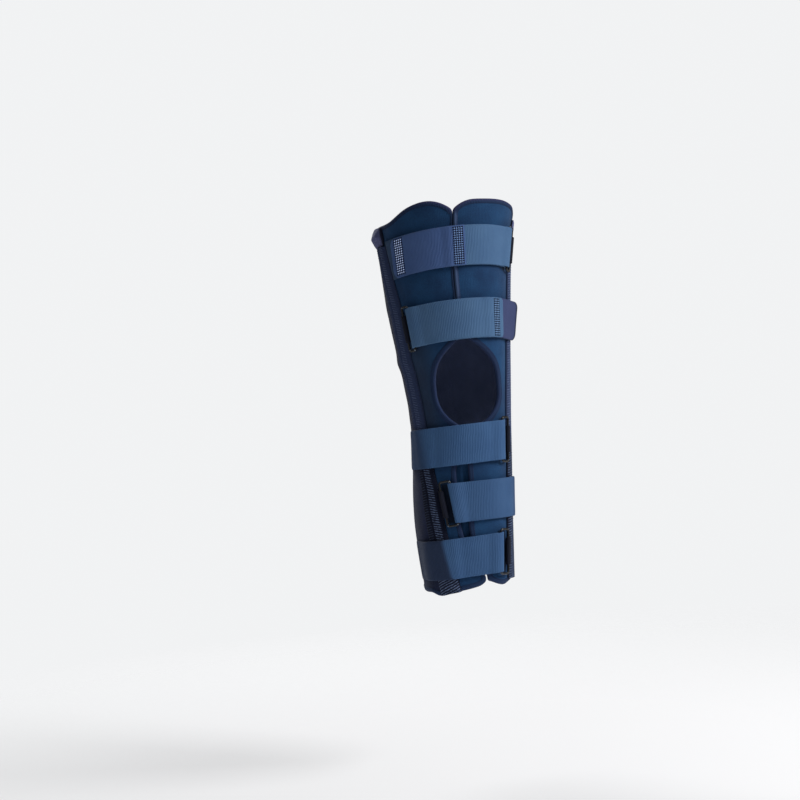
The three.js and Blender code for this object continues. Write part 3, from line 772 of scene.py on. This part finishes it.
def edge_places(panel, part):
    """Places along a panel's bound edge, as (across, level)."""
    top, bottom = TOP_STRETCH[1], BOTTOM_STRETCH[1]
    lap = TAPE_LAP[panel]
    if part:
        across = np.linspace(-lap, 1 + lap, TAPE_STEPS.back)
        return across, np.full(across.shape, top if part == "top" else bottom)
    front = 1 if panel == "medial" else 0
    end = np.linspace(-lap if front else 1 + lap, front, TAPE_STEPS.end)
    levels = np.linspace(top, bottom, TAPE_STEPS.front)
    across = np.concatenate([end, np.full(len(levels) - 2, front), end[::-1]])
    return across, np.concatenate([np.full(len(end), top), levels[1:-1], np.full(len(end), bottom)])


def front_share(across, level):
    """1 on the front edges above the knee, where the lateral panel lies over the medial one."""
    at_edge = (across <= 0) | (across >= 1)
    return smooth(level, *FRONT_LEVELS) * smooth(TOP_STRETCH[1] - level, *FRONT_FADE) * at_edge


def clear_of_straps(level):
    return math.prod(smooth(np.abs(level - strap.z) - STRAP_WIDTH / 2, *FRONT_FADE) for strap in STRAPS)


def add_binding(name, panel, part=None):
    """One tape. Gives the line of its stitches, the way off the cloth, and where they are hidden."""
    across, level = edge_places(panel, part)
    section = np.vstack([folded(TAPE_OUTER), folded(TAPE_INNER)[::-1]])
    inset, lift = section.T
    front = front_share(across, level)[:, None]
    bulge = (lift > ROLL_FORM.over) * bell(inset - ROLL_FORM.inset, ROLL_FORM.width)
    lifts = lift + bulge * ROLL[panel] * front * clear_of_straps(level)[:, None]
    insets = inset * lerp(1, TUCK[panel], front)
    rings = relaxed(panel_point(panel, across[:, None], level[:, None], insets, lifts), TAPE_PASSES)
    uv = pairs(along(rings[:, len(TAPE_OUTER) - 1])[:, None], along(section))
    by_level = lerp(LOW_RIM, 1, smooth(level, *RIM_LEVELS))[:, None]
    rim = (1 - smooth(inset, *RIM_INSET)) * (1 - front) * by_level
    # Painted highlight along the roll of the lateral tape above the knee.
    ridge = bulge * front * (panel == "lateral")
    extra = {"rim": rim.ravel(), "ridge": ridge.ravel()}
    add_loft(name + "_tape", rings, uv, BINDING, name, extra=extra)
    line, above = (
        relaxed(panel_point(panel, across, level, STITCH_INSET, at), TAPE_PASSES)
        for at in (STITCH_LIFT, STITCH_LIFT + 1)
    )
    return line, above - line, front[:, 0] * (panel == "medial")


# Stitches, with the length, radius and flatness of a float of thread
STITCH_PITCH = 3.3
STITCH = (2.4, 0.32, 0.9)
STITCH_REACH = 0.6


def capsule(length, radius, flatness, sides=6):
    """Rings of a thread's float along x, thin at its ends, with z off the cloth."""
    share = np.array([-1, -0.86, -0.4, 0.4, 0.86, 1])
    girth = np.array([0.12, 0.6, 1, 1, 0.6, 0.12])
    bend = np.linspace(0, 2 * np.pi, sides, endpoint=False)
    x = np.repeat(share[:, None] * length / 2, sides, 1)
    y = girth[:, None] * radius * np.cos(bend)
    z = girth[:, None] * radius * flatness * np.sin(bend)
    return np.stack([x, y, z], -1)


def add_stitches(name, centres, directions, normals, material, form):
    """One mesh of many threads' floats."""
    shape = capsule(*form)
    local = shape.reshape(-1, 3)
    x = unit(directions)
    y = unit(np.cross(normals, x))
    axes = np.stack([x, y, np.cross(x, y)], 1)
    points = (centres[:, None] + local @ axes).reshape(-1, 3)
    faces = (loft(shape)[None] + np.arange(len(centres))[:, None, None] * len(local)).reshape(-1, 4)
    add_piece(name, points, facing_out(points, faces), points[:, :2], [material])


def stitch_row(line, normals, hidden=0):
    """Places of stitches along a line, apart from where they are hidden."""
    run = along(line)
    at = np.arange(STITCH_PITCH / 2, run[-1], STITCH_PITCH)
    at = at[np.interp(at, run, hidden + 0 * run) < 0.5]

    def pick(values, where):
        return np.stack([np.interp(where, run, values[:, i]) for i in range(3)], -1)

    centres = pick(line, at)
    directions = pick(line, at + STITCH_REACH) - pick(line, at - STITCH_REACH)
    return centres, directions, pick(normals, at)


def add_stitch_rows(name, rows, material):
    add_stitches(name, *(np.concatenate(part) for part in zip(*rows)), material, STITCH)


def add_bindings():
    lines = [
        add_binding("medial_binding", "medial"),
        add_binding("lateral_binding", "lateral"),
        add_binding("back_top_binding", "back", "top"),
        add_binding("back_bottom_binding", "back", "bottom"),
    ]
    rows = [stitch_row(*line) for line in lines]
    add_stitch_rows("binding_stitches", rows, NAVY_THREAD)


# Tongue behind the gap below the knee, with a ridge down its middle
FLAP = Form(foot=-226, head=-66, thick=2, under=9, past=7, lift=-5.6, rows=120, columns=40)
FLAP_RIDGE = Form(depth=1.6, place=0.5, width=0.09)


def add_flap():
    across = np.linspace(0, 1, FLAP.columns + 1)
    z = np.linspace(FLAP.foot, FLAP.head, FLAP.rows + 1)[:, None]
    start = read(SEAM, "z", "medial", z) - FLAP.under
    end = read(SEAM, "z", "lateral", z) + FLAP.past
    angle = lerp(start, end, across)
    ridge = dent(FLAP_RIDGE, across) + uneven("flap", across, z)
    lifts = (FLAP.lift + ridge, FLAP.lift - FLAP.thick + ridge)
    uv = (angle * UV_DEGREE, z)
    piece = add_wall("front_flap_cloth", angle, z, lifts, uv, PANEL, "front_flap")
    half_way = skin(angle, z, lifts[0])[FLAP.rows // 2]


# Stay pockets: ribs in a herringbone that meets in a crease, dull behind it and along the front selvedge
POCKET_ROWS = 900
POCKET_CELLS = 32
POCKET_SPREAD = [-1, -0.9, -0.8, -0.3, 0.3, 0.8, 0.9, 1]
POCKET_PROFILE = [0.2, 0.34, 0.8, 0.94, 0.98, 0.86, 0.34, 0.2]
POCKET_PASSES = 2
POCKET_SEAM = Form(place=0.94, rise=0.3)
RIB = Form(pitch=3.1, rise=0.4, slant=0.22, hem=(0.02, 0.1))
RIB_FADE = (-95, -60)
REAR_RIBS = 0.5
UPPER_RIBS = {"medial": 0.7, "lateral": 1}
CREASE = Form(place=0.1, width=0.07, depth=0.5)
SELVEDGE = {"medial": 0.9, "lateral": 0}
SELVEDGE_PLACE = (0.58, 0.72)
FOOT_RIBS = 0.5
PLAIN_FOOT = {"medial": (225, 245), "lateral": (252, 253)}


def add_pocket(side):
    """One pocket. Gives the rows of stitches along its two edges."""
    share = np.linspace(-1, 1, POCKET_CELLS + 1)
    forward = -OUT[side] * share
    level = np.linspace(POCKET_FOOT[side], POCKET_HEAD, POCKET_ROWS)[:, None]
    z = level + FOOT_SLANT[side] * share * (1 - smooth(level - POCKET_FOOT[side], 0, SLANT_REACH))
    middle = stay_line(side, z)
    angle = middle + degrees_of(POCKET_HALF * share, middle, z)
    rise = relaxed(POCKET_RISE * np.interp(forward, POCKET_SPREAD, POCKET_PROFILE), POCKET_PASSES)
    foot = smooth(-z, *PLAIN_FOOT[side])
    from_crease = forward + CREASE.place
    crease = bell(from_crease, CREASE.width) * (1 - foot)
    herring = lerp(RIB.slant * np.abs(from_crease), -FOOT_RIBS * share, foot) * POCKET_HALF
    turns = (z + herring) / RIB.pitch + uneven("rib", z, share)
    rib = (0.5 + 0.5 * np.sin(2 * np.pi * turns)) * (1 - crease) * smooth(1 - np.abs(share), *RIB.hem)
    lift = BASE_LIFT + rise + RIB.rise * (rib - 0.5) - CREASE.depth * crease
    fade = smooth(z, *RIB_FADE)
    bright = np.where(from_crease > 0, 1, lerp(REAR_RIBS, 1, foot)) * lerp(1, UPPER_RIBS[side], fade)
    bright = bright * (1 - SELVEDGE[side] * smooth(forward, *SELVEDGE_PLACE) * (1 - foot))
    looks = [("rib", rib * bright, 0), ("fade", fade, 1)]
    lifts = (lift, BASE_LIFT)
    uv = (z, share * POCKET_HALF)
    node = side + "_stay_pocket"
    add_wall(side + "_pocket_tape", angle, z, lifts, uv, RIBBED, node, looks)
    rows = []
    on = BASE_LIFT + POCKET_RISE * POCKET_SEAM.rise
    for column, edge in ((0, -POCKET_SEAM.place), (-1, POCKET_SEAM.place)):
        beside, height = middle[:, column], z[:, column]
        at = beside + degrees_of(POCKET_HALF * edge, beside, height)
        line = skin(at, height, on)
        rows.append(stitch_row(line, skin(at, height, on + 1) - line))
    return rows


def add_pockets():
    rows = [row for side in OUT for row in add_pocket(side)]
    add_stitch_rows("pocket_stitches", rows, GREY_THREAD)


# Covers: folded pads over the tops of the pockets, with a hem all round and a fold near the front
COVER = Form(foot=183, head=208, half=20, back=5, edge=1.6, cells=48)
COVER_CROWN = {"medial": 7, "lateral": 3}
COVER_RIDGE = {"medial": 1.5, "lateral": 4}
COVER_FLATNESS = 6
COVER_CORNERS = 0.22
COVER_FULLNESS = 0.8
COVER_HEM = Form(place=0.84, width=0.035, depth=0.6)
COVER_FOLD = Form(place=0.9, width=0.06, depth=2.2, shade=(0.82, 0.92))


def add_cover(side):
    """One cover: its middle stands out in a ridge, and its front is in the shade of the fold."""
    steps = np.linspace(-1, 1, COVER.cells + 1)
    x, y = np.meshgrid(steps, steps)
    narrow = np.sqrt(1 - COVER_CORNERS * x * x * y * y)
    z = lerp(COVER.foot, COVER.head, 0.5 + y * narrow / 2)
    middle = stay_line(side, z) + OUT[side] * COVER.back
    angle = middle + degrees_of(x * narrow * COVER.half, middle, z)
    pillow = (1 - x**COVER_FLATNESS) * (1 - np.abs(y) ** COVER_RIDGE[side])
    front = -x * OUT[side]
    hem = dent(COVER_HEM, np.maximum(np.abs(x), np.abs(y)))
    crown = COVER_CROWN[side] * (COVER_FULLNESS + uneven("cover", x, y))
    lift = BASE_LIFT + COVER.edge + pillow * (crown - dent(COVER_FOLD, front) - hem)
    looks = [("fold", smooth(front, *COVER_FOLD.shade), 1)]
    lifts = (lift, BASE_LIFT)
    uv = (x * COVER.half, z)
    node = side + "_pocket_end"
    piece = add_wall(side + "_pocket_cover", angle, z, lifts, uv, COVER_CLOTH, node, looks)


# Straps, rings and keepers
STATION_DEGREES = Form(strap=1.2, tab=0.5)
BAND_CELLS = Form(strap=20, tab=40, keeper=12)
TURN_STEPS = Form(strap=15, keeper=29)
STRAP_PASSES = 3
MEETING_ROUNDS = 4
RING_SIDES = 14
RING_STEPS = 11
# Painted shade on a strap's under layer next to its sewn end
SEWN_SHADE = 0.6
SINGED = 6.5


def beside_pocket(side, distance, z):
    """Angle at a distance in front of a pocket's front edge."""
    middle = stay_line(side, z)
    return middle - OUT[side] * degrees_of(POCKET_HALF + distance, middle, z)


def meeting(strap, side, distance):
    """Height, angle and lean of the line where a strap meets a pocket's front edge."""
    z = strap.z
    for _ in range(MEETING_ROUNDS):
        z = height_of(strap, beside_pocket(side, distance, z))
    reach = STRAP_WIDTH / 2
    low, angle, high = (beside_pocket(side, distance, z + step) for step in (-reach, 0, reach))
    return z, angle, (high - low) / (2 * reach)


def ring_of(strap):
    """A strap's ring: its height, lean, bar angles and frame, with x across its bars and z off the leg."""
    z, outer, lean = meeting(strap, strap.ring, RING_STAND)
    out = OUT[strap.ring]
    offset = (strap.wide - RING_BAR) / 2
    inner = outer - out * degrees_of(2 * offset, outer, z, BAR_LIFT)
    middle = (outer + inner) / 2
    reach = STRAP_WIDTH / 2
    low, high = (skin(middle + lean * step, z + step, BAR_LIFT) for step in (-reach, reach))
    up = unit(high - low)
    origin = skin(middle, z, BAR_LIFT)
    across = unit(np.cross(up, origin - skin(middle, z, 0)))
    axes = np.stack([across, up, np.cross(across, up)])
    return Form(z=z, lean=lean, outer=outer, inner=inner, offset=offset, out=out, axes=axes, origin=origin)


def in_ring(ring, points):
    return points @ ring.axes + ring.origin


def bar_turn(ring, bar, radius, bends):
    """Turn round one of a ring's bars: rows of angle, lift, lean, and x and z in the ring's frame."""
    bulge = ring.out if bar == "inner" else -ring.out
    place = getattr(ring, bar)
    degree = degrees_of(1, place, ring.z, BAR_LIFT)
    run = bulge * radius * np.cos(np.radians(bends))
    rise = radius * np.sin(np.radians(bends))
    angle = place + run * degree
    lean = np.full(len(run), ring.lean)
    return np.stack([angle, BAR_LIFT + rise, lean, run - bulge * ring.offset, rise], -1)


def on_skin(angle, lift, lean):
    """Rows like those of bar_turn for places that aren't in a ring's frame."""
    none = np.full(len(angle), np.nan)
    return np.stack([angle, lift, np.broadcast_to(lean, angle.shape), none, none], -1)


def band(way, z, strap, section, ring=None, corner=None, rise=None):
    """Rings of a band's section along its way, at a strap's height. A corner makes its far end round, and
    rise(angle) takes the place of lifts that change across the band."""
    angle, lift, lean, local_x, local_z = way.T
    ahead, behind = neighbours(len(way))
    run = (angle[ahead] - angle[behind]) / degrees_of(1, angle, z)
    climb = lift[ahead] - lift[behind]
    size = np.hypot(run, climb)
    across, up = -climb / size, run / size
    aside, off = section.T
    leaning = angle[:, None] + lean[:, None] * aside
    if corner:
        start, end, radius = corner.start, corner.end, corner.radius
        beyond = np.clip(np.abs(aside) - STRAP_WIDTH / 2 + radius, 0, radius)
        back = degrees_of(radius - np.sqrt(radius**2 - beyond**2), end, z)
        rows = slice(corner.first, None)
        leaning[rows] = start + (leaning[rows] - start) * (1 - back / abs(end - start))
    moved = across[:, None] * off
    raised = up[:, None] * off
    shifted = leaning + degrees_of(moved, angle[:, None], z, lift[:, None])
    middle = rise(leaning) if rise else lift[:, None]
    rings = skin(shifted, height_of(strap, angle)[:, None] + aside, middle + raised)
    local = np.isfinite(local_x)
    if local.any():
        flat = [local_x[local, None] + moved[local], np.broadcast_to(aside, moved[local].shape)]
        rings[local] = in_ring(ring, np.stack([*flat, local_z[local, None] + raised[local]], -1))
    return rings


def outer_lift(strap, angle):
    """Lift of a strap's outer layer over the ring, the under layer and the far pocket, with its crest."""
    ring = ring_of(strap)
    z = height_of(strap, angle)
    degree = degrees_of(1, angle, z)
    pocket = stay_line(OTHER[strap.ring], z)
    near_ring = 1 - smooth(np.abs(turn(ring.inner, angle)) / degree, *RING_FADE)
    past_pocket = ring.out * (angle - pocket) < 0
    fade = np.where(past_pocket, POCKET_TAIL, POCKET_FADE)
    on_pocket = 1 - smooth(np.abs(turn(pocket, angle)) / degree, POCKET_HALF, POCKET_HALF + fade)
    base = np.where(past_pocket, UNDER - SNUG, OVER)
    climb = np.maximum(near_ring * (BAR_LIFT + FOLD_RADIUS - base), on_pocket * (ON_POCKET - base))
    crest = strap.crest * bell(turn(strap.bend, angle) / degree, CREST_REACH)
    return base + climb + crest


def rise_on_tab(index, angle):
    tab = UNDER_TAB
    before = np.sign(tab.end - tab.start) * (tab.start - angle)
    return (index == tab.strap) * (TAB + 2 * TAB_GAP) * (1 - smooth(before, *TAB_FADE))


def spaced(start, end, most):
    return np.linspace(start, end, math.ceil(abs(end - start) / most) + 1)


def strap_way(index):
    """Stations of a strap, the painted shade at each, and its ring."""
    strap = STRAPS[index]
    ring = ring_of(strap)
    far = OTHER[strap.ring]
    fixed_z, fixed, fixed_lean = meeting(strap, far, SEWN_GAP)

    def share(angle, place):
        return 1 - smooth(np.abs(angle - place), *LEAN_FADE)

    under = spaced(fixed, ring.inner, STATION_DEGREES.strap)
    under_lean = ring.lean * share(under, ring.inner) + fixed_lean * share(under, fixed)
    outer = spaced(ring.inner, strap.end, STATION_DEGREES.strap)
    pocket = stay_line(far, fixed_z)
    outer_lean = ring.lean * share(outer, ring.inner) + fixed_lean * share(outer, pocket)
    lift = outer_lift(strap, outer) + rise_on_tab(index, outer)
    fold = bar_turn(ring, "inner", FOLD_RADIUS, np.linspace(-90, 90, TURN_STEPS.strap))
    way = [on_skin(under, UNDER + 0 * under, under_lean)[:-1], fold, on_skin(outer, lift, outer_lean)[1:]]
    # Painted shade: on the under layer by its sewn end, and on the outer layer past the bend, where it turns
    # away from the light
    bent = smooth(ring.out * (strap.bend - outer), -strap.takes, 0)
    dark = lerp(strap.before, strap.past, bent)
    shade = np.concatenate([SEWN_SHADE * share(under, fixed)[:-1], np.zeros(len(fold)), dark[1:]])
    return np.vstack(way), shade, ring


def add_band(name, rings, section, material, shade=None):
    """Band for a node, and its length along its middle line, where shade says how dark it is."""
    length = along(rings[:, len(section) // 4])
    uv = pairs(length[:, None], section[:, 0])
    extra = {"shade": np.repeat(shade(length), len(section))} if shade else None
    return add_loft(name + "_band", rings, uv, material, name, extra=extra), length[-1]


def add_strap(index):
    strap = STRAPS[index]
    way, shade, ring = strap_way(index)
    section = band_section(STRAP_WIDTH, STRAP, BAND_CELLS.strap)
    first = np.flatnonzero(np.isfinite(way[:, 3]))[-1] + 1
    corner = Form(first=first, start=ring.inner, end=strap.end, radius=END_CORNER)
    rings = relaxed(band(way, ring.z, strap, section, ring, corner), STRAP_PASSES)
    material = STRAP_BANDS[strap.slot]
    piece, length = add_band(strap.name, rings, section, material, lambda _: shade)


def tab_lift(tab, angle):
    strap = STRAPS[tab.strap]
    heading = np.sign(tab.end - tab.start)
    past = smooth(heading * (angle - strap.end), *TAB_FADE)
    rise = (STRAP / 2 + TAB_GAP + TAB / 2) * (1 - past) if tab is OVER_TAB else 0
    on_leg = heading * np.minimum(heading * angle, heading * tab.leaves)
    radius = 1 / np.radians(degrees_of(1, on_leg, strap.z))
    stand = radius * (1 / np.cos(np.radians(angle - on_leg)) - 1)
    return outer_lift(strap, on_leg) + rise + stand


def add_tab(tab, material):
    strap = STRAPS[tab.strap]
    start, end = tab.start, tab.end
    angle = spaced(start, end, STATION_DEGREES.tab)
    section = band_section(STRAP_WIDTH, TAB, BAND_CELLS.tab)
    lean = tab.lean * (angle - start) / (end - start)
    way = on_skin(angle, tab_lift(tab, angle), lean)
    corner = Form(first=0, start=start, end=end, radius=TAB_CORNER)

    def singed(length):
        return (1 - smooth(length[-1] - length, 0, SINGED)) * (tab is UNDER_TAB)

    rings = band(way, strap.z, strap, section, corner=corner, rise=lambda at: tab_lift(tab, at))
    piece, length = add_band(tab.name, rings, section, material, singed)


def add_ring(index):
    """Wire ring, with painted glints of bare steel at its round corners."""
    ring = ring_of(STRAPS[index])
    inner = np.array([STRAPS[index].wide, RING_LENGTH]) / 2 - RING_BAR / 2 - RING_CORNER
    bends = np.linspace(0, 90, RING_STEPS)
    corners = []
    for corner, signs in enumerate(((1, 1), (-1, 1), (-1, -1), (1, -1))):
        turned = np.radians(bends + 90 * corner)
        corners.append(inner * signs + RING_CORNER * np.stack([np.cos(turned), np.sin(turned)], -1))
    line = np.vstack(corners)
    tangent = unit(np.roll(line, -1, 0) - np.roll(line, 1, 0))
    normal = np.stack([tangent[:, 1], -tangent[:, 0]], -1)
    bend = np.linspace(0, 2 * np.pi, RING_SIDES, endpoint=False)
    flat = line[:, None] + RING_BAR / 2 * np.cos(bend)[:, None] * normal[:, None]
    height = np.broadcast_to(RING_BAR / 2 * np.sin(bend), flat.shape[:2])
    rings = in_ring(ring, np.concatenate([flat, height[..., None]], -1))
    uv = pairs(along(line)[:, None], bend)
    # Painted glint at the middle of each corner
    corner_glint = np.tile(np.sin(np.radians(2 * bends)), len(corners))
    name = f"ring_{index + 1}"
    extra = {"corner_glint": np.repeat(corner_glint, RING_SIDES)}
    add_loft(name + "_wire", rings, uv, ENAMEL, name, closed=True, extra=extra)


def add_keeper(index):
    """Webbing from the pocket's front edge, round the ring's outer bar and back."""
    ring = ring_of(STRAPS[index])
    radius = RING_BAR / 2 + RING_PLAY + KEEPER.thick / 2
    reach = degrees_of(RING_STAND - KEEPER.root, ring.outer, ring.z)
    root = np.array([ring.outer + ring.out * reach])
    bends = np.linspace(KEEPER.turn, -KEEPER.turn, TURN_STEPS.keeper)
    ends = [on_skin(root, np.array([lift]), ring.lean) for lift in KEEPER.lifts]
    way = np.vstack([ends[0], bar_turn(ring, "outer", radius, bends), ends[1]])
    section = band_section(KEEPER.width, KEEPER.thick, BAND_CELLS.keeper)
    level = Form(z=ring.z, drop=0, tilt=0)
    rings = band(way, ring.z, level, section, ring)
    add_band(f"ring_keeper_{index + 1}", rings, section, KEEPER_BAND)


# Boxes of dark stitches with paler knots between them: end angles, stitches across and up, and half height
BOXES = records(
    "name strap start end across up half thread",
    ("strap_1_end_stitches", 0, -52.6, -44.6, 5, 16, 22, PALE_THREAD),
    ("strap_1_stitches", 0, -2.9, 3.9, 5, 17, 22.5, MID_THREAD),
    ("strap_2_stitches", 1, 30, 35.6, 4, 17, 22.5, MID_THREAD),
)
DARK_DOT = (1.9, 0.95, 0.3)
LIGHT_DOT = (1.4, 0.7, 0.4)
# Hems of the long straps: two rows across the strap, at distances from its end
HEM = Form(straps=(2, 3, 4), from_end=(4, 12), up=14, half=20)
HEM_STITCH = (2.6, 0.35, 0.8)
THREAD_LIFT = 0.1


def sewn_face(index, angle):
    """Lift of the outer face of a strap, or of the tab that lies over it."""
    if index == OVER_TAB.strap:
        return tab_lift(OVER_TAB, angle) + TAB / 2
    return outer_lift(STRAPS[index], angle) + rise_on_tab(index, angle) + STRAP / 2


def add_grid(name, index, angles, asides, material, form):
    """Stitches up a strap at each of some angles and distances from its middle."""
    angle, aside = (part.ravel() for part in np.meshgrid(angles, asides))
    z = height_of(STRAPS[index], angle) + aside
    top = sewn_face(index, angle) + THREAD_LIFT
    centres = skin(angle, z, top)
    normals = skin(angle, z, top + 1) - centres
    ups = skin(angle, z + 1, top) - centres
    add_stitches(name, centres, ups, normals, material, form)


def between(places):
    return (places[1:] + places[:-1]) / 2


def add_strap_stitches():
    for box in BOXES:
        angles = np.linspace(box.start, box.end, box.across)
        asides = np.linspace(-box.half, box.half, box.up)
        add_grid(box.name, box.strap, angles, asides, DARK_THREAD, DARK_DOT)
        knots = between(angles), between(asides)
        add_grid(box.name + "_knots", box.strap, *knots, box.thread, LIGHT_DOT)
    for index in HEM.straps:
        strap = STRAPS[index]
        steps = degrees_of(np.array(HEM.from_end), strap.end, strap.z)
        angles = strap.end - np.sign(strap.end) * steps
        asides = np.linspace(-HEM.half, HEM.half, HEM.up)
        add_grid(strap.name + "_hem_stitches", index, angles, asides, NAVY_THREAD, HEM_STITCH)


# Camera of the photograph: its place, its roll, and the knee's pixel and scale in the image
CAMERA = Form(distance=2000, height=-52, turn=10, roll=4.54, sensor=36)
IMAGE = 800
KNEE_PIXEL = (458.5, 385)
MM_PER_PIXEL = 1.30


def add_camera():
    """Camera at the photograph's place, aimed at its middle and rolled as it was."""
    side = math.radians(CAMERA.turn)
    roll = math.radians(CAMERA.roll)
    up = Vector((0, 0, 1))
    right = Vector((math.cos(side), -math.sin(side), 0))
    forward = Vector((math.sin(side), math.cos(side), 0))
    view_up = up * math.cos(roll) + right * math.sin(roll)
    view_right = right * math.cos(roll) - up * math.sin(roll)
    from_knee = (Vector((IMAGE / 2, IMAGE / 2)) - Vector(KNEE_PIXEL)) * MM_PER_PIXEL
    middle = view_right * from_knee.x - view_up * from_knee.y
    eye = up * CAMERA.height - forward * CAMERA.distance
    back = (eye - middle).normalized()
    view_right = (view_right - back * view_right.dot(back)).normalized()
    data = bpy.data.cameras.new("camera")
    data.sensor_width = CAMERA.sensor
    data.lens = CAMERA.sensor * (eye - middle).length / (IMAGE * MM_PER_PIXEL)
    camera = add_object("camera", data)
    axes = Matrix((view_right, back.cross(view_right), back)).transposed().to_4x4()
    camera.matrix_world = Matrix.Translation(eye * MM) @ axes
    bpy.context.scene.camera = camera


# Studio, in metres and watts: soft lights all round, a pale floor and pale surroundings
LIGHTS = records(
    "name azimuth elevation distance size power",
    ("key", 60, 30, 2.4, 1.2, 47),
    ("fill", -30, 25, 2.6, 1.6, 2.5),
    ("back", 190, 35, 2.6, 1.6, 40),
)
SKY = Form(shown=0.9, light=0.17, colour=(0.98, 0.99, 1, 1))
FLOOR = Form(z=-0.49, half=2.4, fade=(0.4, 1.5), glow=0.16, colour=(0.86, 0.86, 0.87, 1))


def add_light(name, azimuth, elevation, distance, size, power):
    data = bpy.data.lights.new(name, "AREA")
    data.size = size
    data.energy = power
    light = add_object(name, data)
    a, e = math.radians(azimuth), math.radians(elevation)
    back = Vector((math.sin(a) * math.cos(e), -math.cos(a) * math.cos(e), math.sin(e)))
    light.location = back * distance
    light.rotation_euler = back.to_track_quat("Z", "Y").to_euler()


def add_sky():
    """Even pale surroundings that light the object less than they show."""
    world = bpy.data.worlds.new("studio")
    world.use_nodes = True
    nodes, links = world.node_tree.nodes, world.node_tree.links
    seen = nodes.new("ShaderNodeMapRange")
    links.new(nodes.new("ShaderNodeLightPath").outputs["Is Camera Ray"], seen.inputs["Value"])
    seen.inputs["To Min"].default_value = SKY.light
    seen.inputs["To Max"].default_value = SKY.shown
    links.new(seen.outputs["Result"], nodes["Background"].inputs["Strength"])
    nodes["Background"].inputs["Color"].default_value = SKY.colour
    bpy.context.scene.world = world


def add_floor():
    """Pale floor that fades into the pale surroundings."""
    half = FLOOR.half
    corners = [(-half, -half, 0), (half, -half, 0), (half, half, 0), (-half, half, 0)]
    mesh = bpy.data.meshes.new("floor")
    mesh.from_pydata(corners, [], [(0, 1, 2, 3)])
    glow = {"emission_color": (1, 1, 1, 1), "emission_strength": FLOOR.glow}
    shader = Shader("floor", roughness=0.9, base_color=FLOOR.colour, **glow)
    distance = shader.node("VectorMath", {0: shader.place()}, operation="LENGTH").outputs["Value"]
    shader.drive("Alpha", shader.spread(distance, *FLOOR.fade, 1, 0))
    mesh.materials.append(shader.material)
    floor = add_object("floor", mesh)
    floor.location.z = FLOOR.z


def build():
    add_camera()
    add_sky()
    add_floor()
    for light in LIGHTS:
        add_light(**vars(light))
    bpy.context.scene.view_settings.view_transform = "Standard"
    add_panel("medial", PANEL)
    add_panel("lateral", PANEL)
    add_panel("back", BACK)
    add_bindings()
    add_flap()
    add_pockets()
    for side in OUT:
        add_cover(side)
    for index in range(len(STRAPS)):
        add_strap(index)
        add_ring(index)
        add_keeper(index)
    add_tab(OVER_TAB, BLUE_HOOK)
    add_tab(UNDER_TAB, PURPLE_HOOK)
    add_strap_stitches()


build()
